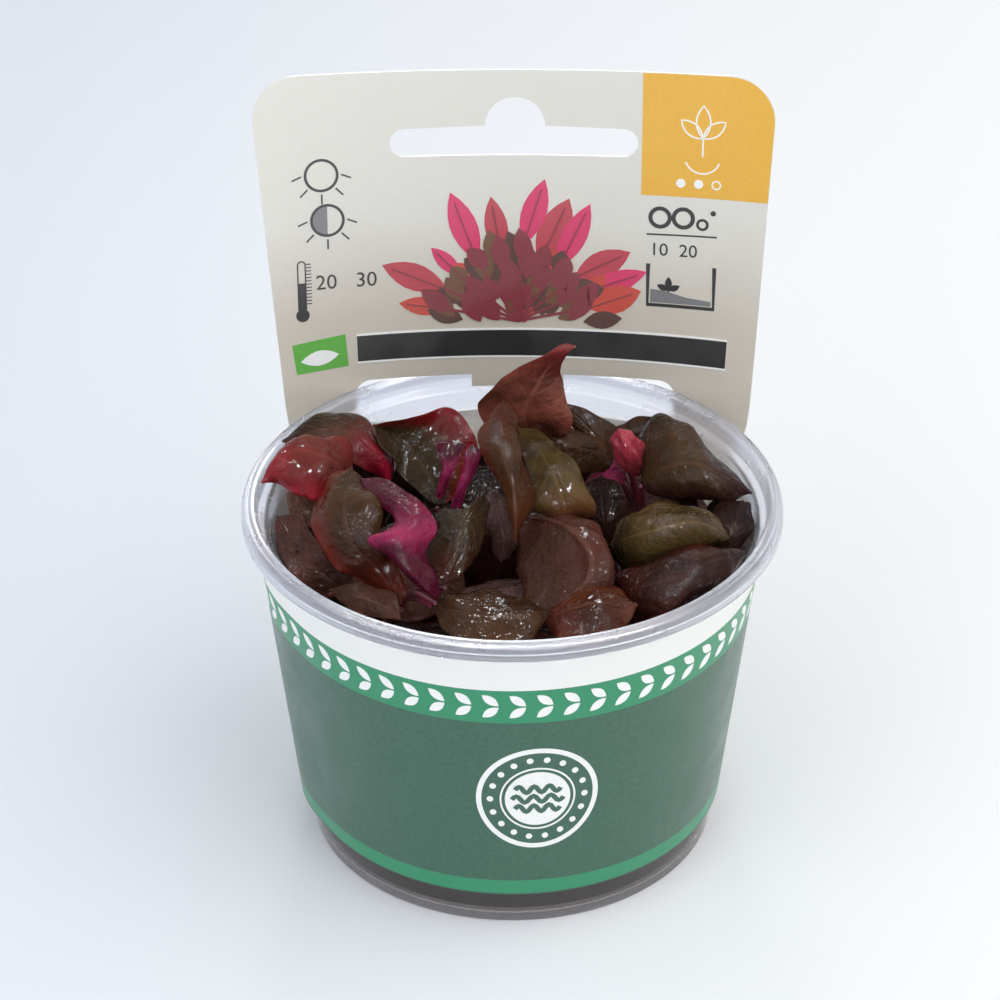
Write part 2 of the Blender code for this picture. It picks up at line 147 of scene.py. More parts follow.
# %% [markdown]
# ## Nodes in one line
# A procedural finish is a chain of shader nodes. These helpers add one node and wire it at once, so that
# each finish below reads as a short recipe. The first one serves trees of Geometry Nodes as well.

# %% Helpers for shader nodes
def add_node(tree, kind, *values, out=0, setup=None, **named):
    """Add a node, fill or wire its inputs by order or by name, and return one of its outputs."""
    made = tree.nodes.new(kind)
    for key, value in (setup or {}).items():
        setattr(made, key, value)
    for key, value in [*enumerate(values), *named.items()]:
        socket = made.inputs[key.replace("_", " ") if isinstance(key, str) else key]
        if isinstance(value, bpy.types.NodeSocket):
            tree.links.new(value, socket)
        elif value is not None:
            socket.default_value = value
    return made.outputs[out]


def new_finish(name, **sockets):
    material = bpy.data.materials.new(name)
    material.use_nodes = True
    shader = material.node_tree.nodes["Principled BSDF"]
    for socket, value in sockets.items():
        shader.inputs[socket.replace("_", " ")].default_value = value
    return material


def step(material, kind, *values, **more):
    return add_node(material.node_tree, "ShaderNode" + kind, *values, **more)


def calc(material, operation, *values):
    return step(material, "Math", *values, setup={"operation": operation})


def ramp(material, value, low, high, start=0.0, end=1.0):
    """Map a value from one range to another and clamp it."""
    return step(material, "MapRange", value, low, high, start, end)


def mixed(material, share, first, second):
    """Blend two colours. The node's five inputs for other data lie between the share and the colours."""
    return step(material, "Mix", share, *[None] * 5, first, second, out=2, setup={"data_type": "RGBA"})


def place(material):
    return step(material, "TexCoord", out=3)


def stored(material, name, out=1):
    """What the mesh stores under a name: output 1 is a vector, and output 2 a number."""
    return step(material, "Attribute", out=out, setup={"attribute_name": name})


def parts(material, vector):
    return step(material, "SeparateXYZ", vector).node.outputs


def grain(material, scale, detail=3.0, rough=0.5, where=None):
    """Noise whose features are about one over the scale, in metres."""
    return step(material, "TexNoise", Vector=where or place(material), Scale=scale, Detail=detail,
                Roughness=rough)


def varied(material, scale, low, high):
    """A value that drifts between two ends over the surface, as a worn or wet surface's roughness does."""
    return ramp(material, grain(material, scale), 0.3, 0.7, low, high)


def set_look(material, colour, roughness=None, bump=None, bump_mm=0.1):
    """Wire the parts of a finish that vary over the surface into its shader."""
    wires = {"Base Color": colour, "Roughness": roughness}
    if bump is not None:
        normal = step(material, "Bump", Height=bump, Distance=mm(bump_mm), Strength=1.0)
        wires.update({"Normal": normal, "Coat Normal": normal})
    shader = material.node_tree.nodes["Principled BSDF"]
    for name, value in wires.items():
        if value is not None:
            material.node_tree.links.new(value, shader.inputs[name])


# %% [markdown]
# ## Floor and light
# The pot stands on a white table in a bright room. A large soft light stands to the right and throws
# the faint shadow on the left, and a cooler one fills from the left. Six small ones give the wet leaves and
# the rim their white sparks. They light no matt surface, so they throw no shadows of their own. The table's
# colour runs from a cooler, darker white on the left to a warm white on the right: painted shade and light,
# on top of what the lamps give. The floor is a stage and not part of the object.

# %% Floor
TABLE_HALF = 3.0
table = new_finish("white_table", Specular_IOR_Level=0.1, Roughness=0.6)
# Painted shade and light: the table is a cooler, darker white on the left and a warm white on the right.
painted_shade_to_light = ramp(table, parts(table, place(table))[0], -0.12, 0.14)
set_look(table, mixed(table, painted_shade_to_light, srgb(229, 232, 239), srgb(251, 251, 249)))
table_shape = bmesh.new()
bmesh.ops.create_grid(table_shape, x_segments=1, y_segments=1, size=TABLE_HALF)
new_object("table_top", mesh_of(table_shape, "table_top"), table)


# %% Light
def soft_light(name, at, aim_height, size, watts, colour):
    """A round lamp in metres and watts. A glint shows only as a reflection."""
    lamp = bpy.data.lights.new(name, "AREA")
    lamp.shape = "DISK"
    lamp.size = size
    lamp.energy = watts
    lamp.color = colour
    light = new_object(name, lamp)
    light.location = at
    light.rotation_euler = (Vector((0, 0, aim_height)) - Vector(at)).to_track_quat("-Z", "Y").to_euler()
    light.visible_diffuse = not name.endswith("glint")


soft_light("key_light", (0.62, -0.30, 0.85), 0.05, 1.4, 5.2, (1.0, 0.97, 0.93))
soft_light("fill_light", (-0.70, -0.65, 0.70), 0.05, 1.0, 3.0, (0.86, 0.92, 1.0))
soft_light("back_glint", (-0.05, 0.75, 0.62), 0.06, 0.12, 7.0, (1.0, 1.0, 1.0))
soft_light("right_glint", (0.42, -0.20, 0.80), 0.06, 0.06, 7.0, (1.0, 0.98, 0.95))
soft_light("front_glint", (-0.22, -0.60, 0.85), 0.06, 0.06, 6.5, (1.0, 1.0, 1.0))
soft_light("high_glint", (0.10, 0.10, 1.05), 0.06, 0.05, 2.5, (1.0, 1.0, 1.0))
soft_light("left_glint", (-0.50, 0.10, 0.80), 0.06, 0.05, 2.5, (0.95, 0.98, 1.0))
soft_light("low_glint", (0.22, -0.95, 0.24), 0.07, 0.06, 5.0, (1.0, 1.0, 1.0))
world = bpy.data.worlds.new("bright_room")
world.use_nodes = True
background = world.node_tree.nodes["Background"].inputs
background["Color"].default_value = (0.93, 0.96, 1.0, 1.0)
background["Strength"].default_value = 0.75
bpy.context.scene.world = world
bpy.context.scene.view_settings.view_transform = "Standard"


# %% [markdown]
# ## Geometry Nodes as tools
# A turned pot is one outline carried round a circle, and a printed scale is one mark repeated along a
# line. Both are rules, so small node trees make them. The sizes are named inputs of each tree, and the
# last nodes turn instances into real geometry and give it its material.

# %% Helpers for geometry nodes
def new_tree(name, **inputs):
    """A node tree with a geometry input and output, plus one named input for each given socket type."""
    tree = bpy.data.node_groups.new(name, "GeometryNodeTree")
    tree.is_modifier = True
    for label, kind in {"Geometry": "Geometry", **inputs}.items():
        tree.interface.new_socket(label.replace("_", " "), in_out="INPUT", socket_type="NodeSocket" + kind)
    tree.interface.new_socket("Geometry", in_out="OUTPUT", socket_type="NodeSocketGeometry")
    return tree, tree.nodes.new("NodeGroupInput").outputs


def geo(tree, kind, **more):
    return add_node(tree, "GeometryNode" + kind, **more)


def end_tree(tree, geometry, material):
    real = geo(tree, "RealizeInstances", Geometry=geometry)
    painted = geo(tree, "SetMaterial", Geometry=real, Material=material)
    tree.links.new(painted, tree.nodes.new("NodeGroupOutput").inputs[0])


def grown(mesh, tree, **values):
    """Run a tree on a mesh and return the plain mesh that it makes."""
    obj = new_object("carrier", mesh)
    modifier = obj.modifiers.new(tree.name, "NODES")
    modifier.node_group = tree
    for item in tree.interface.items_tree:
        label = item.name.replace(" ", "_")
        if item.in_out == "INPUT" and label in values:
            modifier[item.identifier] = values[label]
    return made_real(obj)


# %% [markdown]
# ## The clear cup
# The cup is thin clear plastic, pressed in one go: a tapered wall, a ledge where a lid would sit, and a
# flange with a rolled outer edge. It could be spun with a modifier. Here a tree carries its outline round a
# circle, because the jelly below is turned by the same tree. The outline is the solid's own, with its
# corners rounded by arcs, and two fine steps that catch the light on the flange.

# %% A tree that turns an outline
PIN_R = 1.0
turned_tree, given = new_tree("turned_piece", Sides="Int", Pin_Radius="Float", Material="Material")
outline = geo(turned_tree, "MeshToCurve", Mesh=given["Geometry"])
pin = geo(turned_tree, "CurvePrimitiveCircle", Resolution=given["Sides"], Radius=given["Pin Radius"])
skin = geo(turned_tree, "CurveToMesh", Curve=pin, Profile_Curve=outline)
skin = geo(turned_tree, "MergeByDistance", Geometry=skin, Distance=mm(0.002))
end_tree(turned_tree, skin, given["Material"])


def turned(name, profile, sides, material):
    """A closed body of revolution from radius and height pairs, both ends of the profile on the axis."""
    corners = [mm(radius - PIN_R, -height, 0) for radius, height in profile]
    mesh = grown(line_mesh(corners), turned_tree, Sides=sides, Pin_Radius=mm(PIN_R), Material=material)
    shape = bmesh.new()
    shape.from_mesh(mesh)
    bmesh.ops.recalc_face_normals(shape, faces=shape.faces)
    return new_object(name, smooth_faces(mesh_of(shape, name), 38), material)


# %% The cup's outline
CUP_BASE_R = 36.5
CUP_TAPER = 0.113
CUP_WALL = 0.8
FLANGE_R = 47.5
MOUTH_R = 44.6
LEDGE_Z = 62.4
CORNER_R = 0.35


def wall_radius(height):
    return CUP_BASE_R + CUP_TAPER * height


def rounded(points, radius, steps=4):
    """The open outline with each inner corner replaced by an arc-like curve."""
    smooth = [points[0]]
    for before, corner, after in zip(points, points[1:], points[2:]):
        corner = Vector(corner)
        back, ahead = Vector(before) - corner, Vector(after) - corner
        reach = min(radius, 0.45 * back.length, 0.45 * ahead.length)
        start, end = corner + reach * back.normalized(), corner + reach * ahead.normalized()
        for index in range(steps + 1):
            t = index / steps
            smooth.append(tuple((1 - t) ** 2 * start + 2 * t * (1 - t) * corner + t * t * end))
    return smooth + [points[-1]]


shoulder = LEDGE_Z - 0.5
skirt_foot = CUP_HEIGHT - 3.0
cup_profile = [
    (0, 0),
    (CUP_BASE_R, 0),
    (CUP_BASE_R + 0.1, 1.2),
    (wall_radius(shoulder), shoulder),
    (MOUTH_R + 0.7, shoulder),
    (MOUTH_R + 0.7, CUP_HEIGHT - 0.9),
    (FLANGE_R - 0.7, CUP_HEIGHT - 0.9),
    (FLANGE_R - 0.7, skirt_foot),
    (FLANGE_R - 0.05, skirt_foot),
    (FLANGE_R - 0.05, CUP_HEIGHT - 1.6),
    (FLANGE_R - 0.3, CUP_HEIGHT - 1.5),
    (FLANGE_R - 0.3, CUP_HEIGHT - 0.6),
    (FLANGE_R - 0.9, CUP_HEIGHT - 0.1),
    (FLANGE_R - 1.3, CUP_HEIGHT - 0.3),
    (FLANGE_R - 1.7, CUP_HEIGHT - 0.02),
    (MOUTH_R + 0.4, CUP_HEIGHT - 0.02),
    (MOUTH_R, CUP_HEIGHT - 0.5),
    (MOUTH_R, LEDGE_Z + 0.5),
    (wall_radius(LEDGE_Z) - CUP_WALL, LEDGE_Z),
    (CUP_BASE_R - CUP_WALL + 0.1, 1.9),
    (CUP_BASE_R - 1.7, 1.0),
    (0, 1.0),
]

# %% [markdown]
# Clear plastic is a shader with nearly full transmission. Its refraction index is set a little below the 1.5
# of real plastic, because the reflections of so many thin walls add up. A pressed cup is not perfect: faint
# waves run round it, so the bump is a noise that is stretched along the height. The flange is thick and
# milky, so it gets more roughness and a milky colour. The foot is painted dark grey, painted shade that
# matches the dark jelly which shows in it.

# %% Clear plastic and the cup
clear = new_finish("clear_plastic", Transmission_Weight=0.93, IOR=1.37)
stretched = step(clear, "Mapping", place(clear), Scale=(1.0, 1.0, 0.25))
cup_level = parts(clear, place(clear))[2]
near_rim = ramp(clear, cup_level, 0.052, 0.060)
cloudy = calc(clear, "MULTIPLY", near_rim, 0.24)
# Painted shade: below about 6 to 9 mm the cup's colour is a dark grey, where the dark jelly shows through.
foot_shade_tint = mixed(clear, ramp(clear, cup_level, 0.006, 0.009), (0.42, 0.39, 0.39, 1), (0.98, 0.98, 0.985, 1))
roughness = calc(clear, "ADD", varied(clear, 160.0, 0.02, 0.07), cloudy)
set_look(clear, mixed(clear, near_rim, foot_shade_tint, (0.88, 0.89, 0.95, 1)), roughness,
         grain(clear, 90.0, where=stretched), 0.02)
dress(turned("clear_cup", rounded(cup_profile, CORNER_R), 160, clear), "clear_cup", "cup")


# %% [markdown]
# ## The printed card
# One flat sheet is die cut and folded: its long strip wraps the cup as a sleeve, and its tall middle part
# flares away from the cup into the header that hangs on a hook. The sheet is made flat, cut with booleans,
# and then every point is carried onto the bent surface. Flat places are given as the distance along the
# wrap from the middle of the back, and the height. Pairs of numbers below are the reach to the sides, or the
# height, over which one form turns into the other.

# %% The card's bent surface
CARD_THICK = 0.5
FIT_GAP = 0.3
SLEEVE_BOTTOM = 7.2
SLEEVE_TOP = 61.4
UNROLL_R = 44.0
SLEEVE_LEFT = UNROLL_R * radians(-100)
SLEEVE_RIGHT = UNROLL_R * radians(272)
SEAM_START, SEAM_END = radians(238), radians(258)
HEADER_TOP = 125.5
HEADER_BEND = 150.0
HEADER_Y = 41.5
HEADER_LEAN = 0.0875
HEADER_FLATTENS = 2.0
RIM_Z = 66.0
FLARE_REACH = (44, 62)
FLARE_RISE = (38, 62.5)
BESIDE_RISE = (62, 74)
TAB_REACH = (14, 26)
TAB_Z = 60


def sleeve_point(along, height):
    """Where the card hugs the tapered cup. Past the back seam it rides over its own other end."""
    angle = along / UNROLL_R
    lift = smoothstep(angle, SEAM_START, SEAM_END)
    radius = wall_radius(height) + FIT_GAP + CARD_THICK / 2 + lift * (CARD_THICK + FIT_GAP)
    return Vector((radius * sin(angle), radius * cos(angle), height))


def header_point(along, height):
    """The header is a gently bent sheet that leans back and flattens towards its top."""
    bend = HEADER_BEND + HEADER_FLATTENS * max(height - RIM_Z, 0)
    middle_y = HEADER_Y + HEADER_LEAN * (height - RIM_Z)
    angle = along / bend
    return Vector((bend * sin(angle), middle_y - bend * (1 - cos(angle)), height))


def card_point(along, height):
    """The sleeve turns into the header over a strip beside it and over the height of the window."""
    reach = abs(along)
    if reach > FLARE_REACH[1]:
        return sleeve_point(along, height)
    beside = 1 - smoothstep(reach, *FLARE_REACH) * (1 - smoothstep(height, *BESIDE_RISE))
    off_middle = 1 if height > TAB_Z else smoothstep(reach, *TAB_REACH)
    share = smoothstep(height, *FLARE_RISE) * beside * off_middle
    return sleeve_point(along, height).lerp(header_point(along, height), share)


def bent(along, depth, height):
    """A point at some depth outwards from the card's middle surface, in metres."""
    nudge = 0.05
    across = card_point(along + nudge, height) - card_point(along - nudge, height)
    upward = card_point(along, height + nudge) - card_point(along, height - nudge)
    return mm(*(card_point(along, height) + depth * upward.cross(across).normalized()))


# %% The card's cut edges
HEADER_CORNER = 8.0
HEADER_SIDES_LOW = (-41.8, 44.0)
HEADER_SIDES_HIGH = (-46.4, 47.0)
NOTCH_Z = 52.0
NOTCH_R = 4.0
NOTCH_END = 74.0


def polar(x, y, reach, turn):
    """The flat point at a distance from another, in a direction in degrees."""
    return x + reach * cos(radians(turn)), y + reach * sin(radians(turn))


def arc(x, y, radius, start, end, steps=8):
    return [polar(x, y, radius, start + (end - start) * index / steps) for index in range(steps + 1)]


def card_outline():
    (left_low, right_low), (left_high, right_high) = HEADER_SIDES_LOW, HEADER_SIDES_HIGH
    foot_z, corner_z = NOTCH_Z + NOTCH_R, HEADER_TOP - HEADER_CORNER
    return ([(SLEEVE_LEFT, SLEEVE_BOTTOM), (SLEEVE_RIGHT, SLEEVE_BOTTOM), (SLEEVE_RIGHT, SLEEVE_TOP),
             (NOTCH_END, SLEEVE_TOP)]
            + arc(right_low + NOTCH_R, foot_z, NOTCH_R, 270, 180)
            + arc(right_high - HEADER_CORNER, corner_z, HEADER_CORNER, 0, 90, 14)
            + arc(left_high + HEADER_CORNER, corner_z, HEADER_CORNER, 90, 180, 14)
            + arc(left_low - NOTCH_R, foot_z, NOTCH_R, 0, -90)
            + [(-NOTCH_END, SLEEVE_TOP), (SLEEVE_LEFT, SLEEVE_TOP)])


def window_outline():
    """The window lets the back of the flange through, and a small tab hangs into it."""
    left, right, low, high = -29.2, 30.2, 57.8, 66.3
    tab_left, tab_right, tab_foot = -7.5, 9.5, 63.9
    inset = 3.0
    return (arc(left + inset, low + inset, inset, 180, 270) + arc(right - inset, low + inset, inset, 270, 360)
            + arc(right - inset, high - inset, inset, 0, 90)
            + [(tab_right, high), (tab_right, tab_foot), (tab_left, tab_foot), (tab_left, high)]
            + arc(left + inset, high - inset, inset, 90, 180))


def slot_outline():
    """A long hang slot with round ends and a round rise in the middle."""
    left, right, low, high = -22.0, 22.6, 109.4, 114.7
    rise_x, rise_z, rise_r = 0.5, 115.0, 5.4
    end_r = (high - low) / 2
    return (arc(left + end_r, low + end_r, end_r, 90, 270, 14)
            + arc(right - end_r, low + end_r, end_r, -90, 90, 14)
            + arc(rise_x, rise_z, rise_r, 0, 180, 20))


# %% [markdown]
# The cutters are prisms pushed through the flat sheet. The sheet is a fine grid, about two millimetres to a
# square, so that it bends as a smooth curve. Before bending, each corner keeps its flat place as an
# attribute, and the print below is painted by that attribute, so it follows the sheet round the cup.

# %% Cut the flat sheet and bend it
SQUARE = 2.2
TALL_SQUARE = 1.5 * SQUARE
OVERHANG = 1
CUTTER_HALF = 3


def thickened(name, shape, thick):
    """A flat shape pushed along the depth into a closed solid."""
    pushed = bmesh.ops.extrude_face_region(shape, geom=list(shape.faces))
    moved = [item for item in pushed["geom"] if isinstance(item, bmesh.types.BMVert)]
    bmesh.ops.translate(shape, verts=moved, vec=mm(0, thick, 0))
    bmesh.ops.recalc_face_normals(shape, faces=shape.faces)
    return new_object(name, mesh_of(shape, name))


def prism(outline):
    shape = bmesh.new()
    shape.faces.new([shape.verts.new(mm(x, -CUTTER_HALF, y)) for x, y in outline])
    return thickened("cutter", shape, 2 * CUTTER_HALF)


def flat_sheet():
    left, wide = SLEEVE_LEFT - OVERHANG, SLEEVE_RIGHT - SLEEVE_LEFT + 2 * OVERHANG
    low, tall = SLEEVE_BOTTOM - OVERHANG, HEADER_TOP - SLEEVE_BOTTOM + 2 * OVERHANG
    shape = bmesh.new()
    bmesh.ops.create_grid(shape, x_segments=int(wide / SQUARE), y_segments=int(tall / TALL_SQUARE), size=0.5)
    for vert in shape.verts:
        vert.co = mm(left + (vert.co.x + 0.5) * wide, -CARD_THICK / 2, low + (vert.co.y + 0.5) * tall)
    return thickened("flat_sheet", shape, CARD_THICK)


sheet = flat_sheet()
cutters = [prism(card_outline()), prism(window_outline()), prism(slot_outline())]
for cutter, operation in zip(cutters, ("INTERSECT", "DIFFERENCE", "DIFFERENCE")):
    cut = sheet.modifiers.new("cut", "BOOLEAN")
    cut.operation = operation
    cut.solver = "EXACT"
    cut.object = cutter
card_mesh = made_real(sheet)
for cutter in cutters:
    bpy.data.objects.remove(cutter)
flat_places = [1000 * value for vert in card_mesh.vertices for value in vert.co]
store(card_mesh, "flat_place", "FLOAT_VECTOR", flat_places)
for vert in card_mesh.vertices:
    vert.co = bent(*(1000 * vert.co))
smooth_faces(card_mesh, 50)


# %% [markdown]
# ## Printed colours
# The outside of the sleeve is printed in bands that run round at fixed heights: a bright green line at the
# foot, a wide dark green field, a bright green band and a white one under the flange. The inside of the
# sheet, which is the front of the header, is a warm grey that turns to a darker beige lower down: partly the
# print on the back showing through, and partly painted shade. The cut edge shows white. One material reads
# the flat place and picks the colour, and a fine speckle and a weak sheen keep the ink from looking like
# flat paint.

# %% Card finish
FOOT_LINE_LOW = 7.5
FOOT_LINE_HIGH = 10.6
FIELD_TOP = 47.2
BAND_TOP = 54.4
WHITE = srgb(240, 240, 236)
DARK_GREEN = srgb(44, 90, 70)
BRIGHT_GREEN = srgb(28, 140, 96)
HEADER_GREY = srgb(226, 223, 214)
HEADER_BEIGE_AND_SHADE = srgb(210, 201, 187)

paper = new_finish("printed_card", Coat_Weight=0.35, Coat_Roughness=0.22)
_, flat_depth, flat_height = parts(paper, stored(paper, "flat_place"))
speckle = grain(paper, 1400.0, 2.0)
field = mixed(paper, ramp(paper, speckle, 0.35, 0.65), DARK_GREEN, srgb(52, 98, 79))
outside = DARK_GREEN
for low, colour in ((FOOT_LINE_LOW, BRIGHT_GREEN), (FOOT_LINE_HIGH, field), (FIELD_TOP, BRIGHT_GREEN),
                    (BAND_TOP, WHITE)):
    outside = mixed(paper, calc(paper, "GREATER_THAN", flat_height, low), outside, colour)
wavy_height = calc(paper, "MULTIPLY_ADD", grain(paper, 40.0), 12.0, flat_height)
# The lower front is a darker beige: partly print showing through from the back, partly painted shade.
inside = mixed(paper, ramp(paper, wavy_height, 84.0, 104.0), HEADER_BEIGE_AND_SHADE, HEADER_GREY)
inside = mixed(paper, calc(paper, "MULTIPLY", speckle, 0.10), inside, srgb(150, 146, 138))
is_edge = calc(paper, "LESS_THAN", calc(paper, "ABSOLUTE", flat_depth), 0.2)
printed = mixed(paper, calc(paper, "GREATER_THAN", flat_depth, 0.0), inside, outside)
set_look(paper, mixed(paper, is_edge, printed, WHITE), varied(paper, 120.0, 0.32, 0.46),
         grain(paper, 260.0, 4.0), 0.03)
dress(new_object("printed_sleeve_card", card_mesh, paper), "printed_card", "card")


# %% [markdown]
# ## Printed marks
# The small marks are thin films of ink that lie on the sheet. Each is drawn flat from strokes and patches,
# cut into short strips so that it can bend, thickened, and carried onto the card by the same bending. A film
# of its own keeps every edge sharp, which a painted pattern on a large sheet would not.

# %% Flat drawing
def stroke(points, width, closed=False):
    """Quads of even width along a line."""
    count = len(points)
    edges = []
    for index, (x, y) in enumerate(points):
        back = points[index - 1] if index or closed else points[0]
        ahead = points[(index + 1) % count] if index < count - 1 or closed else points[-1]
        dx, dy = ahead[0] - back[0], ahead[1] - back[1]
        length = max(sqrt(dx * dx + dy * dy), 1e-6)
        nx, ny = -0.5 * width * dy / length, 0.5 * width * dx / length
        edges.append(((x + nx, y + ny), (x - nx, y - ny)))
    last = count if closed else count - 1
    return [(edges[i][0], edges[i][1], edges[(i + 1) % count][1], edges[(i + 1) % count][0])
            for i in range(last)]


def disc(x, y, radius, steps=28):
    return [arc(x, y, radius, 0, 360 - 360 / steps, steps - 1)]


def ring(x, y, radius, width, steps=48):
    return stroke(disc(x, y, radius, steps)[0], width, closed=True)


def leaf_shape(x, y, length, width, turn, steps=7):
    """A pointed oval from its foot at x, y."""
    spine = [(index / steps, sin(pi * index / steps) ** 0.85 * width / 2) for index in range(steps + 1)]
    edge = [(length * t, half) for t, half in spine] + [(length * t, -half) for t, half in spine[-2:0:-1]]
    c, s = cos(radians(turn)), sin(radians(turn))
    return [[(x + c * u - s * v, y + s * u + c * v) for u, v in edge]]


def flat_mesh(patches):
    shape = bmesh.new()
    for patch in patches:
        shape.faces.new([shape.verts.new(mm(x, y, 0)) for x, y in patch])
    bmesh.ops.remove_doubles(shape, verts=shape.verts, dist=mm(0.005))
    return mesh_of(shape, "drawing")


# %% Lay a flat drawing on the card
INK_FILM = 0.05
INK_SUNK = 0.02


def ink(name, *colour):
    material = new_finish(name, Coat_Weight=0.3, Coat_Roughness=0.25)
    colour = srgb(*colour)
    lighter = tuple(min(1.0, 1.15 * value + 0.004) for value in colour[:3]) + (1.0,)
    set_look(material, mixed(material, grain(material, 1400.0, 2.0), colour, lighter),
             varied(material, 120.0, 0.30, 0.43), grain(material, 260.0, 4.0), 0.03)
    return material


def lay_on_card(name, drawing, material, outside=False, layer=1, strip=3.0):
    """Cut a drawing into strips, give it thickness and bend it onto the inner or outer face."""
    shape = bmesh.new()
    shape.from_mesh(flat_mesh(drawing) if isinstance(drawing, list) else drawing)
    bmesh.ops.triangulate(shape, faces=[face for face in shape.faces if len(face.verts) > 4])
    for axis in (0, 1):
        spread = [vert.co[axis] for vert in shape.verts]
        place_at = min(spread) + mm(strip)
        while place_at < max(spread):
            cut, direction = Vector((0, 0, 0)), Vector((0, 0, 0))
            cut[axis], direction[axis] = place_at, 1
            bmesh.ops.bisect_plane(shape, geom=shape.verts[:] + shape.edges[:] + shape.faces[:], plane_co=cut,
                                   plane_no=direction, dist=1e-7)
            place_at += mm(strip)
    pushed = bmesh.ops.extrude_face_region(shape, geom=list(shape.faces))
    tops = {item for item in pushed["geom"] if isinstance(item, bmesh.types.BMVert)}
    for vert in shape.verts:
        depth = CARD_THICK / 2 + (INK_FILM * layer if vert in tops else -INK_SUNK)
        vert.co = bent(1000 * vert.co.x, depth if outside else -depth, 1000 * vert.co.y)
    bmesh.ops.recalc_face_normals(shape, faces=shape.faces)
    mesh = smooth_faces(mesh_of(shape, name), 40)
    dress(new_object(f"print_{name}", mesh, material), "printed_card")


black_ink = ink("black_ink", 42, 41, 42)
white_ink = ink("white_ink", 238, 238, 236)
yellow_ink = ink("yellow_ink", 226, 172, 52)
green_ink = ink("green_ink", 88, 170, 58)
grey_ink = ink("grey_ink", 120, 120, 122)
field_ink = ink("field_ink", 48, 92, 74)

# %% Panel, name bar and tag
PANEL_LEFT, PANEL_RIGHT, PANEL_FOOT, PANEL_TOP = 23.3, 46.15, 102.4, 125.4
NAME_BAR = [(-28.6, 70.0), (39.5, 69.8), (39.7, 75.4), (-28.7, 75.4)]
TAG = [(-40.0, 68.8), (-30.3, 69.5), (-30.8, 75.8), (-40.7, 74.6)]
panel = [(PANEL_LEFT, PANEL_FOOT), (PANEL_RIGHT, PANEL_FOOT)]
panel += arc(38.9, 117.4, HEADER_CORNER, 0, 90, 10) + [(PANEL_LEFT, PANEL_TOP)]
lay_on_card("corner_panel", [panel], yellow_ink)
lay_on_card("name_bar", [NAME_BAR], black_ink)
lay_on_card("name_bar_edge", stroke(NAME_BAR, 0.35, closed=True), white_ink, layer=2)
lay_on_card("tag", [TAG], green_ink)
lay_on_card("tag_leaf", leaf_shape(-39.2, 71.2, 7.2, 2.9, 7), white_ink, layer=2)


# %% [markdown]
# ## Marks that repeat
# The rays of a sun, the ticks of a thermometer and a border of small leaves are each one mark repeated along
# a line or round a circle. The tree spreads a mark over a path, turns it to the path's direction and makes
# the copies real. The path is the object that carries the tree, and the mark is an input.

# %% A tree that repeats a mark along a path
repeat_tree, given = new_tree("repeated_mark", Mark="Object", Count="Int", Turn="Float", Size="Float",
                              Material="Material")
track = geo(repeat_tree, "MeshToCurve", Mesh=given["Geometry"])
spots = geo(repeat_tree, "ResampleCurve", Curve=track, Count=given["Count"])
heading = add_node(repeat_tree, "FunctionNodeAlignRotationToVector", Vector=geo(repeat_tree, "InputTangent"),
                   setup={"axis": "X"})
turn_by = add_node(repeat_tree, "ShaderNodeCombineXYZ", Z=given["Turn"])
heading = add_node(repeat_tree, "FunctionNodeRotateRotation", Rotation=heading, Rotate_By=turn_by,
                   setup={"rotation_space": "LOCAL"})
mark_shape = geo(repeat_tree, "ObjectInfo", Object=given["Mark"], out="Geometry")
copies = geo(repeat_tree, "InstanceOnPoints", Points=spots, Instance=mark_shape, Rotation=heading)
end_tree(repeat_tree, copies, given["Material"])


def repeated(path, mark, count, material, turn=0.0, closed=False):
    """Copies of a flat mark, drawn at the origin, along a path of flat points."""
    mark_object = new_object("mark", flat_mesh(mark))
    mesh = line_mesh([mm(x, y, 0) for x, y in path], closed)
    made = grown(mesh, repeat_tree, Mark=mark_object, Count=count, Turn=radians(turn), Material=material)
    bpy.data.objects.remove(mark_object)
    return made


# %% Suns for light, a thermometer for warmth
SUN_R = 2.9
RAYS_R = 3.6
TUBE_X, TUBE_LOW, TUBE_HIGH, TUBE_HALF = -38.5, 81.3, 90.6, 0.7
BULB_Z, BULB_R, MERCURY_TOP = 80.2, 1.25, 86.4
SCALE_X, SCALE_LOW, SCALE_HIGH = TUBE_X + 0.8, 82.4, 90.0
ray = stroke([(0, 0), (1.9, 0)], 0.3)
for name, x, y in (("full_sun", -34.4, 106.7), ("half_sun", -33.5, 98.1)):
    lay_on_card(f"{name}_ring", ring(x, y, SUN_R, 0.5), black_ink)
    rays = repeated(arc(x, y, RAYS_R, 180, 360, 32), ray, 5, black_ink, turn=-90)
    lay_on_card(f"{name}_rays", rays, black_ink)
lay_on_card("half_sun_shade", [arc(x, y, SUN_R - 0.25, 90, 270, 20)], grey_ink)
glass = arc(TUBE_X, TUBE_HIGH - TUBE_HALF, TUBE_HALF, 0, 180)
glass += [(TUBE_X - TUBE_HALF, TUBE_LOW), (TUBE_X + TUBE_HALF, TUBE_LOW)]
mercury = disc(TUBE_X, BULB_Z, BULB_R) + stroke([(TUBE_X, BULB_Z), (TUBE_X, MERCURY_TOP)], 1.3)
lay_on_card("thermometer", stroke(glass, 0.25, closed=True), black_ink)
lay_on_card("thermometer_fill", mercury, black_ink)
tick = stroke([(0, 0), (1.0, 0)], 0.18)
ticks = repeated([(SCALE_X, SCALE_LOW), (SCALE_X, SCALE_HIGH)], tick, 13, black_ink, turn=-90)
lay_on_card("thermometer_ticks", ticks, black_ink)


def plain_number(text, x, y, height):
    """Digits as a flat mesh with their lower left corner at x, y."""
    writing = bpy.data.curves.new("digits", "FONT")
    writing.body = text
    writing.size = mm(height / 0.7)
    writing.resolution_u = 4
    mesh = made_real(new_object("digits", writing))
    for vert in mesh.vertices:
        vert.co = (vert.co.x + mm(x), vert.co.y + mm(y), 0)
    return mesh


lay_on_card("warmth_numbers", plain_number("20   30", -36.0, 84.9, 2.8), black_ink, strip=30.0)

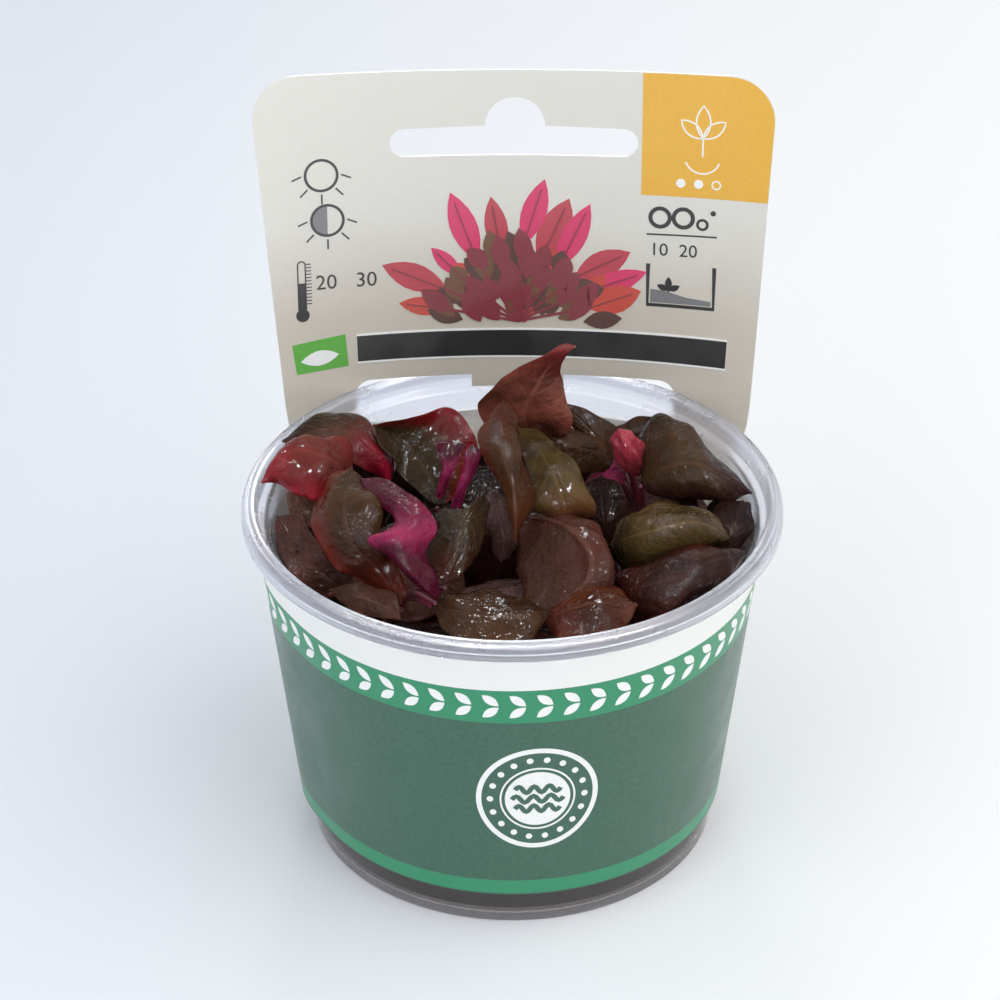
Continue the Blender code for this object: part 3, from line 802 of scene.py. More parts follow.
# %% Corner sprout, bubbles, tank and badge
sprout_x, sprout_low, sprout_top = 34.2, 110.2, 113.6
sprout = []
for turn, length, width in ((90, 6.2, 2.6), (40, 5.2, 2.3), (140, 5.2, 2.3)):
    sprout += stroke(leaf_shape(sprout_x, sprout_top, length, width, turn)[0], 0.28, closed=True)
sprout += stroke([(sprout_x, sprout_top), (sprout_x, sprout_low)], 0.3)
sprout += stroke(arc(sprout_x, sprout_low, 3.2, 200, 340, 12), 0.28)
lay_on_card("sprout_lines", sprout, white_ink, layer=2)
dots = disc(30.4, 105.0, 0.85) + disc(33.6, 105.0, 0.85) + ring(36.8, 105.0, 0.75, 0.25)
lay_on_card("level_dots", dots, white_ink, layer=2)
bubbles = (ring(26.8, 98.2, 1.75, 0.75) + ring(31.0, 98.3, 1.75, 0.75) + ring(34.5, 97.3, 0.9, 0.5)
           + disc(36.4, 99.6, 0.5))
lay_on_card("bubbles", bubbles, black_ink)
lay_on_card("rule", stroke([(24.4, 94.9), (37.2, 95.1)], 0.3), black_ink)
lay_on_card("gas_numbers", plain_number("10  20", 25.0, 90.9, 2.4), black_ink, strip=30.0)
tank = stroke([(24.8, 89.2), (24.8, 81.2), (36.9, 81.2), (36.9, 89.2)], 0.75)
for turn, length, width in ((90, 2.6, 1.3), (25, 2.3, 1.2), (155, 2.3, 1.2)):
    tank += leaf_shape(28.6, 84.2, length, width, turn)
tank += stroke([(28.6, 84.4), (28.6, 83.0)], 0.35)
lay_on_card("tank", tank, black_ink)
gravel = [(25.3, 81.7), (36.4, 81.7), (36.4, 82.6), (32.0, 83.0), (28.0, 84.0), (25.3, 84.3)]
lay_on_card("tank_gravel", [gravel], grey_ink)
badge_x, badge_y = 133.5, 29.9
badge = ring(badge_x, badge_y, 10.95, 1.0, 72) + ring(badge_x, badge_y, 6.9, 0.35, 60)
badge += disc(badge_x, badge_y, 6.1, 48)
lay_on_card("badge", badge, white_ink, outside=True)
dial = repeated(arc(badge_x, badge_y, 8.85, 0, 350, 48), disc(0, 0, 0.62, 14), 18, white_ink, closed=True)
lay_on_card("badge_dial", dial, white_ink, outside=True)
waves = []
for row, reach in ((-2.2, 4.2), (0.0, 4.8), (2.2, 4.2)):
    line = [(badge_x + reach * u / 12, badge_y + row + 0.75 * sin(u * pi / 4)) for u in range(-12, 13)]
    waves += stroke(line, 0.95)
lay_on_card("badge_waves", waves, field_ink, outside=True, layer=2)

# %% [markdown]
# The bright band carries a plain border: pairs of small white leaves in a row. It gives the band the same
# weight of white on green as a line of print would, and it runs round the front half of the sleeve.

# %% Leaf border round the bright band
BORDER_Z = 50.9
PAIRS = 30
leaf_pair = leaf_shape(0.2, 0.2, 3.6, 1.7, 38) + leaf_shape(0.2, -0.2, 3.6, 1.7, -38)
border = [(x, BORDER_Z) for x in (70.0, 100.0, 130.0, 160.0, 190.0, 206.0)]
lay_on_card("leaf_border", repeated(border, leaf_pair, PAIRS, white_ink), white_ink, outside=True)


# %% [markdown]
# ## The printed plant
# The header shows a picture of a plant with pink and wine-red leaves. This one is drawn anew and simply: long
# bright leaves stand out like rays behind a tuft of short dark ones. The short ones are spread by the turn of
# 137.5 degrees that many plants follow, folded into half a disc. Every leaf is the same pointed oval.

# %% Draw the plant from leaves
foot_x, foot_y = 1.0, 77.0
GOLDEN_TURN = 137.5
LOW_LEAVES = 64
PLANT_HUES = {"rose": (186, 66, 78), "pink": (212, 54, 104), "brick": (198, 74, 62), "dusk": (92, 62, 58),
              "moss": (116, 80, 58), "wine": (134, 56, 66)}
plant_art = {name: [] for name in PLANT_HUES}
for turn, start, length, width, hue in (
        (173, 13, 9, 3.6, "brick"), (157, 14, 13, 5.2, "rose"), (142, 13, 8, 3.0, "pink"),
        (124, 13, 14.5, 5.0, "pink"), (104, 12, 12, 4.2, "rose"), (86, 14, 13.5, 4.6, "pink"),
        (69, 11, 14, 6.0, "rose"), (52, 12, 14, 4.6, "pink"), (37, 13, 11.5, 5.2, "rose"),
        (22, 13, 12.5, 4.2, "pink"), (8, 13, 10.5, 5.4, "brick")):
    x, y = polar(foot_x, foot_y + 1.0, start, turn)
    facing = turn + 14 * sin(turn)
    plant_art[hue] += leaf_shape(x, y, length, width, facing)
    plant_art["wine"] += stroke([(foot_x, foot_y), (x, y)], 0.45)
    plant_art["wine"] += stroke([(x, y), polar(x, y, 0.85 * length, facing)], 0.2)
for index in range(LOW_LEAVES):
    spread, turn = sqrt((index + 0.5) / LOW_LEAVES), radians(GOLDEN_TURN * index)
    x, y = foot_x + 13.0 * spread * cos(turn), foot_y - 0.4 + 12.5 * spread * abs(sin(turn))
    facing = 90 - 62 * spread * cos(turn) + 24 * sin(5.0 * index)
    hue = ("dusk", "moss", "wine", "dusk", "wine")[index % 5] if index % 9 else "brick"
    plant_art[hue] += leaf_shape(x, y, 6.0 + 1.2 * sin(3.0 * index), 3.5, facing)
for order, (name, patches) in enumerate(plant_art.items(), 1):
    hue_ink = ink(f"{name}_ink", *PLANT_HUES[name])
    lay_on_card(f"plant_{name}", patches, hue_ink, layer=order * 0.8, strip=4.0)


# %% [markdown]
# ## Growing jelly
# The plant grows in a low plug of set jelly. It is dark, a little uneven on top, and seen through the clear
# foot of the cup it is brown-grey with paler streaks. It is turned like the cup, and then its top is pushed
# up and down by noise, because a poured and disturbed surface follows no rule.

# %% Jelly
JELLY_FOOT = 1.35
JELLY_TOP = 14.6
JELLY_GAP = CUP_WALL + 0.35
jelly_finish = new_finish("set_jelly", Specular_IOR_Level=0.1)
streaks = step(jelly_finish, "Mapping", place(jelly_finish), Scale=(1.0, 1.0, 3.0))
streaks = ramp(jelly_finish, grain(jelly_finish, 70.0, 4.0, 0.6, streaks), 0.35, 0.7)
set_look(jelly_finish, mixed(jelly_finish, streaks, srgb(44, 36, 34), srgb(84, 73, 70)),
         varied(jelly_finish, 200.0, 0.2, 0.4), grain(jelly_finish, 220.0, 4.0), 0.3)
jelly_profile = [(0, JELLY_FOOT), (CUP_BASE_R - 2.4, JELLY_FOOT)]
jelly_profile += [(wall_radius(z) - JELLY_GAP, z) for z in (2.6, 6.0, 10.0, 13.6)]
jelly_profile += [(wall_radius(14) - JELLY_GAP - 1.4, JELLY_TOP)]
jelly_profile += [(radius, JELLY_TOP) for radius in (30, 25, 20, 15, 10, 5, 0)]
jelly = turned("jelly_plug", jelly_profile, 96, jelly_finish)
for vert in jelly.data.vertices:
    if vert.co.z > mm(JELLY_TOP - 0.3):
        vert.co.z += mm(0.5) * (noise.noise(vert.co * 130) - 0.6)
dress(jelly, "growing_medium", "growing_medium")


# %% [markdown]
# ## Wet leaves
# Each leaf is a curled, folded blade with a net of side veins, wine-red below and olive, brown or green
# above, and wet all over. It could be sculpted, but a rule is easier to read: a blade is lofted over three
# lines, its left margin, its midrib and its right margin, each a smooth curve through a few given
# points. Noise then crumples the loft, the veins sink into it and its margin ripples. The two faces are half
# a millimetre apart and thin out to the edge. A fixed seed keeps the creases the same in every run.

# %% The rule for a blade
STATIONS = 64
ACROSS = 29
LEAF_THICK = 0.45
LEAST_HALF = 0.3
VEINS = 8.0
VEIN_SINK = 0.28
EDGE_WAVES = 3.0
DIMPLE = 0.20
FULL_HALF = 4.0
CREASE_SEED = 3
noise.seed_set(CREASE_SEED)


def smooth_path(points, count):
    """Points along a Catmull-Rom curve through the given ones."""
    knots = [Vector(point) for point in points]
    knots = [2 * knots[0] - knots[1]] + knots + [2 * knots[-1] - knots[-2]]
    spans = len(knots) - 3
    path = []
    for index in range(count):
        at = spans * index / (count - 1)
        span = min(int(at), spans - 1)
        t = at - span
        a, b, c, d = knots[span:span + 4]
        path.append(0.5 * (2 * b + (c - a) * t + (2 * a - 5 * b + 4 * c - d) * t * t
                           + (3 * b - a - 3 * c + d) * t ** 3))
    return path


def margin_line(rib, margin):
    """A margin from the foot to the tip of the midrib, never closer to it than the least half width."""
    line = smooth_path([rib[0]] + margin + [rib[-1]], STATIONS)
    middle = smooth_path(rib, STATIONS)
    for index, point in enumerate(line):
        inner = min(max(index, 2), STATIONS - 3)
        away = (line[inner] - middle[inner]).normalized()
        if (point - middle[index]).length < LEAST_HALF:
            line[index] = middle[index] + LEAST_HALF * away
    return line


def vein_depth(t, across):
    """How deep the blade sinks at a side vein or at the midrib, from 0 to 1."""
    reach = abs(across)
    phase = (t - 0.30 * reach ** 0.8) * VEINS + (0.25 if across < 0 else 0.0)
    side_vein = max(0.0, cos(2 * pi * phase)) ** 6
    side_vein *= smoothstep(reach, 0.03, 0.15) * (1 - smoothstep(reach, 0.7, 1.0))
    return max(0.55 * side_vein, 1 - smoothstep(reach, 0.0, 0.10))


def loft(left, rib, right, fold):
    """Cross lines from margin to margin: round like a gutter where fold is 0, sharp as a V where it is 1."""
    lines = [margin_line(rib, left), smooth_path(rib, STATIONS), margin_line(rib, right)]
    lines = [np.array(line, dtype=float)[:, None, :] for line in lines]
    across = np.linspace(-1, 1, ACROSS)[None, :, None]
    sharp = lines[1] + np.where(across < 0, -across * (lines[0] - lines[1]), across * (lines[2] - lines[1]))
    low_share, high_share = (across ** 2 - across) / 2, (across ** 2 + across) / 2
    gutter = lines[0] * low_share + lines[1] * (1 - across ** 2) + lines[2] * high_share
    return fold * sharp + (1 - fold) * gutter


def blade_normals(grid):
    normal = np.cross(np.gradient(grid, axis=1), np.gradient(grid, axis=0))
    return normal / np.maximum(np.linalg.norm(normal, axis=2, keepdims=True), 1e-9)


def two_faced(name, upper, lower, facts):
    """Join two grids of the same size along their border into a closed blade that knows its own places."""
    sheet = STATIONS * ACROSS
    faces = []
    for station in range(STATIONS - 1):
        for index in range(ACROSS - 1):
            a = station * ACROSS + index
            b, c, d = a + 1, a + 1 + ACROSS, a + ACROSS
            faces += [(a, b, c, d), (a + sheet, d + sheet, c + sheet, b + sheet)]
    border = [*range(ACROSS - 1), *(ACROSS * row - 1 for row in range(1, STATIONS))]
    border += [*range(sheet - 1, sheet - ACROSS, -1), *(ACROSS * row for row in range(STATIONS - 1, 0, -1))]
    for here, there in zip(border, border[1:] + border[:1]):
        faces.append((there, here, here + sheet, there + sheet))
    corners = np.concatenate([upper.reshape(-1, 3), lower.reshape(-1, 3)]) * 0.001
    mesh = bpy.data.meshes.new(name)
    mesh.from_pydata(corners.tolist(), [], faces)
    store(mesh, "blade", "FLOAT_VECTOR", np.concatenate([facts.reshape(-1, 3)] * 2).ravel())
    store(mesh, "under_side", "FLOAT", np.repeat([0.0, 1.0], sheet))
    mesh.shade_smooth()
    return mesh


def blade_mesh(name, seed, left, rib, right, fold=0.35, ripple=0.35, crumple=0.9, curl=0.0,
               blush_and_shade=(0, 0, 0, 0)):
    """A closed thin blade. The last argument says how strongly the foot, tip, left margin and right margin
    take the blush colour of the finish: a real red on most leaves, and painted shade where that colour is
    dark.
    """
    grid = loft(left, rib, right, fold)
    normal = blade_normals(grid)
    facts = np.zeros_like(grid)
    half_widths = 0.5 * np.linalg.norm(grid[:, -1] - grid[:, 0], axis=1)
    foot, tip, left_margin_tint, right_margin_tint = blush_and_shade
    for station in range(STATIONS):
        t = station / (STATIONS - 1)
        wide = min(float(half_widths[station]) / FULL_HALF, 1.0)
        for index in range(ACROSS):
            across = 2 * index / (ACROSS - 1) - 1
            reach = abs(across)
            spot = Vector(grid[station, index])
            wave = sin(2 * pi * (EDGE_WAVES * t + 0.37 * seed + 0.5 * (across < 0)))
            rise = ripple * wide * reach ** 2.5 * wave
            rise -= VEIN_SINK * wide * vein_depth(t, across)
            rise -= curl * wide * smoothstep(reach, 0.55, 1.0)
            rise += DIMPLE * wide * noise.noise(spot * 0.36 + Vector((0, seed * 3.1, 0)))
            crease = noise.noise_vector(spot * 0.13 + Vector((seed * 7.3, 0, 0)))
            slack = crumple * wide * (0.4 + 0.6 * reach)
            grid[station, index] = spot + (float(rise) * Vector(normal[station, index]) + slack * crease)
            # red is the share of the blush colour: a real red on most leaves, painted shade on leaves 4 and
            # 19.
            red = max(foot * (1 - smoothstep(t, 0.1, 0.55)), tip * smoothstep(t, 0.45, 0.9),
                      (left_margin_tint if across < 0 else right_margin_tint) * smoothstep(reach, 0.3, 1.0))
            facts[station, index] = (across, t, red)
    normal = blade_normals(grid)
    across, along = facts[:, :, :1], facts[:, :, 1:2]
    thin = 0.5 * LEAF_THICK * (1 - 0.75 * np.abs(across) ** 3)
    rib_swell = 0.5 * np.exp(-(across / 0.09) ** 2) * (1 - 0.7 * along)
    rib_swell *= np.minimum(1, half_widths / FULL_HALF)[:, None, None]
    return two_faced(name, grid + thin * normal, grid - (thin + rib_swell) * normal, facts)


# %% [markdown]
# ## Leaf finish
# A leaf's colour comes in layers: a base that drifts between two hues over its blade, a paler net of veins,
# a blush at the foot, tip or margin, and another colour on the underside. On most leaves the blush is a real
# red; on two it is a dark colour, painted shade of a fold. A clear wet film lies over everything: it is the
# coat of the shader, and its fine bump breaks the highlights into small sparks. One table holds the kinds,
# each with its slot and its five colours.

# %% A finish for each kind of leaf
def leaf_finish(name, colours, wet=0.65):
    """The colours are those of the light and dark parts, the veins, the blush and the underside."""
    leaf = new_finish(name, Specular_IOR_Level=0.0, Coat_Weight=wet, Coat_Roughness=0.03, Coat_IOR=1.3)
    light, dark, vein, blush_and_shade, under = (srgb(*colour) for colour in colours)
    across, along, red = parts(leaf, stored(leaf, "blade"))
    reach = calc(leaf, "ABSOLUTE", across)
    drift = ramp(leaf, grain(leaf, 75.0, 4.0, 0.6), 0.36, 0.64)
    mottle = ramp(leaf, grain(leaf, 420.0, 4.0, 0.65), 0.3, 0.75, 0.0, 0.5)
    colour = mixed(leaf, mottle, mixed(leaf, drift, dark, light), dark)
    slant = calc(leaf, "MULTIPLY", calc(leaf, "POWER", reach, 0.8), 0.30)
    phase = calc(leaf, "MULTIPLY", calc(leaf, "SUBTRACT", along, slant), 2 * pi * VEINS)
    phase = calc(leaf, "MULTIPLY_ADD", calc(leaf, "LESS_THAN", across, 0.0), pi / 2, phase)
    side_vein = ramp(leaf, calc(leaf, "COSINE", phase), 0.82, 1.0, 0.0, 0.2)
    midrib = ramp(leaf, reach, 0.02, 0.08, 0.45, 0.0)
    colour = mixed(leaf, calc(leaf, "MAXIMUM", side_vein, midrib), colour, vein)
    patch = ramp(leaf, grain(leaf, 160.0), 0.35, 0.6, 0.55, 1.0)
    # The blush colour is a real red on most kinds, and painted shade on leaves 4 and 19.
    colour = mixed(leaf, calc(leaf, "MULTIPLY", red, patch), colour, blush_and_shade)
    below = mixed(leaf, ramp(leaf, grain(leaf, 110.0, 4.0), 0.35, 0.65), under, dark)
    below = mixed(leaf, calc(leaf, "MULTIPLY", midrib, 0.6), below, vein)
    is_below = calc(leaf, "GREATER_THAN", stored(leaf, "under_side", 2), 0.5)
    beaded = ramp(leaf, grain(leaf, 110.0, 2.0), 0.43, 0.58, 0.25, 1.25)
    film = calc(leaf, "MULTIPLY_ADD", grain(leaf, 1000.0, 2.0), beaded, grain(leaf, 260.0, 2.0))
    set_look(leaf, mixed(leaf, is_below, colour, below), varied(leaf, 260.0, 0.3, 0.55), film, 0.42)
    return leaf


LEAF_KINDS = {
    "olive": ("leaf_olive", (78, 51, 29), (43, 26, 17), (97, 59, 37), (121, 32, 20), (69, 27, 25)),
    "olive_green": ("leaf_green", (66, 50, 30), (38, 28, 19), (84, 62, 40), (130, 22, 26), (73, 29, 26)),
    "red_brown": ("leaf_red", (126, 80, 62), (78, 51, 41), (134, 88, 70), (150, 26, 40), (82, 43, 34)),
    "rosy": ("leaf_red", (124, 50, 42), (78, 33, 28), (132, 62, 54), (156, 24, 42), (88, 40, 36)),
    "copper": ("leaf_red", (144, 78, 62), (76, 42, 35), (154, 92, 76), (156, 40, 44), (102, 56, 49)),
    # This kind's blush colour, a dark purple, is painted shade for a margin that folds under.
    "dark_edged": ("leaf_olive", (74, 54, 33), (45, 31, 21), (94, 66, 46), (44, 15, 21), (56, 24, 22)),
    "orange_brown": ("leaf_red", (100, 51, 26), (58, 29, 18), (112, 66, 40), (117, 30, 22), (89, 38, 26)),
    "deep_red": ("leaf_red", (62, 31, 24), (34, 20, 16), (74, 40, 32), (98, 24, 26), (54, 23, 20)),
    "green": ("leaf_green", (106, 84, 46), (60, 47, 28), (120, 96, 58), (116, 33, 32), (67, 29, 26)),
    "crimson_footed": ("leaf_olive", (84, 52, 34), (44, 27, 20), (104, 62, 44), (150, 18, 48), (78, 28, 30)),
    # The magenta kind's dark purple blush is painted shade on leaf 4 and a real dark maroon elsewhere.
    "magenta": ("leaf_magenta", (184, 48, 102), (120, 32, 62), (188, 72, 112), (76, 15, 36), (112, 24, 56)),
    "mauve": ("leaf_dark", (108, 80, 74), (66, 46, 42), (120, 70, 76), (96, 36, 44), (100, 72, 70)),
    "dusky": ("leaf_dark", (98, 56, 46), (56, 34, 29), (104, 62, 52), (104, 30, 34), (72, 36, 32)),
    "dark": ("leaf_dark", (48, 24, 18), (28, 17, 13), (60, 32, 25), (78, 22, 23), (50, 22, 19)),
}
leaf_finishes = {kind: leaf_finish(f"{kind}_leaf", colours) for kind, (_, *colours) in LEAF_KINDS.items()}


def leaf_piece(piece_name, seed, kind, lines, *nodes, **details):
    """One finished leaf of a kind: its blade and its finish."""
    mesh = blade_mesh(piece_name, seed, *lines, **details)
    dress(new_object(piece_name, mesh, leaf_finishes[kind]), LEAF_KINDS[kind][0], *nodes)


# %% [markdown]
# The leaves were drawn over the photograph. A point is given as it was drawn: how far across and down
# the picture it lies, in thousandths of its side, and how many millimetres it stands above the rim, which is
# a guess. Since the camera is known, the three numbers give one place in space. It is rounded to half a
# millimetre and kept inside the cup's wall.

# %% From the picture into the cup
RIM_CLEAR_R = 43.9
WALL_CLEAR = 0.7
BELOW_RIM, OVER_RIM = -3, 1.5


def drawn_place(across, down, rise):
    """Where the line of sight through a point of the picture meets a level that is rise above the rim."""
    focus = 1000 * camera_data.lens / camera_data.sensor_width
    right = (across - 500 + 1000 * camera_data.shift_x) / focus
    up = (500 + 1000 * camera_data.shift_y - down) / focus
    slope, fall = cos(VIEW_DOWN), sin(VIEW_DOWN)
    y = (up * (VIEW_DISTANCE - fall * rise) - slope * rise) / (fall - slope * up)
    x, z = right * (VIEW_DISTANCE + slope * y - fall * rise), CUP_HEIGHT + rise
    limit = RIM_CLEAR_R if rise >= BELOW_RIM else wall_radius(z) - CUP_WALL - WALL_CLEAR
    pull = limit / sqrt(x * x + y * y) if rise < OVER_RIM and x * x + y * y > limit * limit else 1.0
    return tuple(round(2 * value) / 2 for value in (pull * x, pull * y, z))


def drawn_lines(growth, *lines):
    """Three drawn lines, grown about their middle in the picture and carried into space."""
    points = [point for line in lines for point in line]
    middle_x, middle_y = (sum(point[axis] for point in points) / len(points) for axis in (0, 1))
    return [[drawn_place(middle_x + growth * (x - middle_x), middle_y + growth * (y - middle_y), rise)
             for x, y, rise in line] for line in lines]


# %% [markdown]
# Each row holds a leaf's finish, its growth, and the points of its left margin, midrib and right margin from
# foot to tip, seen from its upper side. What sets a leaf apart from a plain blade follows by its number: how
# sharply it is folded, how much it curls, ripples and crumples, and where it blushes or takes painted shade.

# %% The leaves that show
LEAVES = [
    ("rosy", 1.04, [(345, 490, -3), (330, 503, -2), (312, 503, -1.5), (298, 497, -1.5), (283, 486, -1)],
     [(350, 478, -3), (330, 460, 3.5), (300, 452, 5), (280, 463, 3.5), (265, 482, 0.3)],
     [(353, 452, -1), (344, 436, 1.5), (316, 437, 3), (290, 447, 2.5), (275, 463, 1)]),
    ("crimson_footed", 1.1, [(370, 472, -6), (350, 462, -2), (325, 452, 0), (300, 450, 0.5)],
     [(386, 480, -8), (370, 450, -1.5), (340, 433, 1.5), (312, 435, 2.5), (286, 441, 1)],
     [(390, 462, -6), (376, 436, -1.5), (362, 421, 0), (337, 415, 1.5), (313, 423, 2)]),
    ("olive", 1.08, [(385, 598, -9), (360, 579, -6), (340, 567, -3), (317, 540, -1), (315, 515, 1.5),
      (321, 497, 3), (334, 479, 4.2)],
     [(398, 602, -9), (378, 572, -4), (353, 540, 1.5), (345, 508, 4.5), (352, 474, 4.5)],
     [(403, 588, -7), (392, 566, -3), (376, 546, 1), (382, 522, 3.5), (374, 500, 5), (364, 482, 5)]),
    ("magenta", 1, [(422, 590, -3), (396, 570, 0.5), (369, 545, 3.5), (374, 536, 5), (396, 523, 5),
      (384, 508, 4.5), (365, 490, 4.5)],
     [(434, 600, -3.5), (414, 577, 1), (399, 554, 4), (403, 540, 6), (414, 520, 6), (398, 502, 6.5),
      (376, 489, 5.5), (359, 480, 4)],
     [(441, 594, -3.5), (434, 580, -1), (426, 554, 1.5), (435, 534, 3.5), (431, 515, 5), (412, 496, 6),
      (386, 481, 5.5)]),
    ("olive_green", 1.05, [(438, 574, -5), (431, 555, -4), (433, 532, -2), (441, 513, 0), (460, 512, 1.5)],
     [(447, 582, -6), (456, 560, -3), (461, 535, 0), (470, 513, 1.5), (482, 496, 1.5)],
     [(461, 577, -5), (474, 560, -4), (481, 540, -3), (484, 520, -1.5), (484, 507, 0)]),
    ("magenta", 1, [(433, 503, -10), (439, 482, -5), (441, 466, -1.5), (436, 446, 1)],
     [(437, 504, -10.5), (444, 483, -4.5), (449, 462, -1), (450, 441, 1.5)],
     [(441, 504, -10), (449, 484, -5), (456, 468, -1.5), (466, 446, 0.5)]),
    ("magenta", 1, [(450, 509, -9), (459, 486, -4), (465, 467, -0.5), (467, 451, 2)],
     [(454, 511, -9.5), (463, 487, -3.5), (470, 466, 0), (474, 447, 2.5)],
     [(458, 510, -9), (468, 488, -4.5), (476, 469, -1), (482, 453, 1.5)]),
    ("olive_green", 1.1, [(428, 500, -9), (405, 478, -7), (391, 460, -4), (382, 445, -1)],
     [(442, 500, -9.5), (424, 470, -6), (412, 448, -4), (398, 438, -2), (378, 429, 1)],
     [(466, 478, -7), (471, 440, -1), (448, 414, 2), (415, 422, 1.5), (394, 426, 1.5)]),
    ("copper", 1, [(500, 430, 5), (480, 421, 8.5), (479, 404, 13), (488, 390, 16), (515, 374, 19.5),
      (545, 355, 22.3), (563, 345, 23)],
     [(532, 434, 3), (524, 415, 8.5), (532, 395, 13.5), (546, 371, 18), (564, 351, 22.3), (575, 346, 22.6)],
     [(550, 437, 2), (566, 437, 3.5), (575, 422, 7), (571, 399, 11), (564, 378, 15), (564, 361, 20),
      (570, 352, 22)]),
    ("olive", 1, [(513, 405, 15), (520, 416, 13), (519, 433, 12), (526, 458, 9.5), (532, 482, 4.5),
      (531, 508, 0.5), (522, 530, -2.5)],
     [(505, 402, 15.5), (501, 428, 13.5), (503, 455, 11), (511, 485, 6.5), (516, 515, 1.5), (515, 543, -3.5)],
     [(497, 405, 15), (488, 416, 13.5), (478, 433, 12), (482, 453, 9.5), (494, 482, 4.5), (505, 508, 0.5),
      (511, 530, -2.5)]),
    ("mauve", 1, [(483, 503, -2), (484, 522, -4.5), (490, 543, -7.5), (492, 556, -9.5)],
     [(492, 490, -0.5), (498, 515, -3), (504, 540, -6), (500, 562, -10)],
     [(502, 496, -1.5), (513, 520, -4), (518, 545, -7.5), (510, 557, -9.5)]),
    ("green", 1.03, [(536, 433, 6), (557, 451, 5.5), (577, 471, 4), (589, 495, 1), (587, 514, -3)],
     [(520, 430, 6.5), (540, 455, 5.5), (556, 480, 4), (564, 505, 0.5), (560, 521, -3)],
     [(518, 447, 5), (523, 467, 4), (530, 490, 2), (530, 512, -1), (545, 518, -2.5)]),
    ("red_brown", 1, [(514, 542, -8.5), (521, 572, -9.5), (524, 598, -9.5)],
     [(524, 518, -6), (562, 526, 0), (588, 552, 1), (588, 580, -2), (566, 601, -6), (540, 616, -9)],
     [(560, 515, -1.5), (590, 528, -1.5), (607, 556, -1.5), (607, 584, -4), (590, 602, -7),
      (562, 614, -9.5)]),
    ("olive", 1.07, [(446, 596, -4.5), (475, 593, -4), (500, 594, -4), (525, 602, -4.5)],
     [(434, 603, -6), (465, 613, -2.5), (500, 616, -2), (527, 615, -2.5), (548, 614, -4.5)],
     [(450, 632, -4.5), (472, 643, -4.5), (503, 645, -4), (530, 636, -4.5)]),
    ("orange_brown", 1.06, [(560, 600, -5), (580, 590, -4.5), (603, 584, -3.5), (624, 593, -3)],
     [(546, 620, -7), (575, 610, -3.5), (602, 605, -2), (636, 606, -3)],
     [(562, 637, -5.5), (588, 641, -5), (614, 633, -4.5), (631, 622, -4)]),
    ("deep_red", 1.09, [(622, 570, -5), (648, 562, -2.5), (672, 549, -0.5), (700, 544, 0.5), (726, 547, 0.5)],
     [(604, 586, -9), (640, 586, -3), (675, 577, 0.8), (710, 565, 1.5), (740, 556, -1)],
     [(628, 618, -8.5), (665, 618, -5.5), (700, 606, -4), (728, 584, -3)]),
    ("green", 1.12, [(625, 519, -3.5), (645, 511, -1), (675, 507, 0), (706, 511, -1.5)],
     [(615, 545, -7), (645, 533, 1), (675, 528, 2.5), (702, 528, 1.5), (723, 538, -3.5)],
     [(620, 566, -9), (650, 566, -6), (680, 556, -4), (708, 552, -5)]),
    ("deep_red", 1, [(712, 548, -7), (710, 525, -4), (722, 503, -2.5)],
     [(722, 556, -8), (732, 532, -4), (744, 503, -2)],
     [(740, 550, -7), (751, 530, -5), (753, 508, -3.5)]),
    ("dark_edged", 1.07, [(645, 448, 0), (662, 417, 3), (682, 427, 3.5), (699, 442, 3), (722, 465, 1.5)],
     [(645, 482, -3.5), (668, 468, 2), (695, 465, 4.5), (722, 476, 2.5), (748, 493, -1.5)],
     [(652, 493, -3.5), (680, 498, -2.5), (710, 499, -2), (735, 498, -2)]),
    ("olive", 1.12, [(617, 440, -4), (621, 428, -1.5), (640, 421, 0)],
     [(622, 455, -6), (636, 438, -2), (658, 419, 1.5)],
     [(640, 458, -5.5), (656, 448, -3.5), (661, 434, -1)]),
    ("olive", 1.15, [(596, 454, -4), (575, 432, -1), (565, 418, 1.5)],
     [(612, 460, -6), (594, 436, -1), (566, 407, 3.5)],
     [(620, 446, -4.5), (614, 428, -1), (591, 414, 2)]),
    ("olive", 1.1, [(612, 468, -6.5), (588, 474, -5.5), (560, 464, -2.5), (543, 449, 0.5)],
     [(624, 460, -6.5), (596, 452, -2), (566, 444, 1.5), (528, 431, 3)],
     [(620, 444, -5), (602, 439, -2), (578, 433, 0.5), (552, 431, 2)]),
    ("magenta", 1, [(622, 486, -7), (603, 492, -8.5)],
     [(629, 464, -5), (606, 474, -6), (582, 488, -8.5)],
     [(622, 460, -4.5), (602, 465, -5.5)]),
    ("dark", 1.2, [(597, 548, -15), (589, 518, -10), (588, 492, -7.5)],
     [(606, 554, -16), (604, 520, -9), (602, 484, -6)],
     [(615, 545, -14), (619, 515, -9), (616, 490, -6)]),
    ("dusky", 1.2, [(322, 592, -12), (298, 577, -9), (280, 556, -6.5), (276, 535, -5)],
     [(345, 592, -12.5), (318, 570, -7.5), (296, 548, -6), (284, 524, -4)],
     [(342, 572, -8), (322, 552, -4), (308, 535, -3), (300, 523, -3.5)]),
    ("red_brown", 1.15, [(350, 587, -7), (372, 589, -6), (391, 597, -6.5)],
     [(334, 592, -10), (365, 600, -6.5), (397, 618, -9)],
     [(345, 605, -9.5), (372, 618, -9)]),
    ("red_brown", 1.3, [(310, 524, -9), (294, 510, -7.5)],
     [(324, 521, -9.5), (306, 505, -6), (289, 488, -5)],
     [(327, 506, -7), (310, 492, -4.5)]),
]
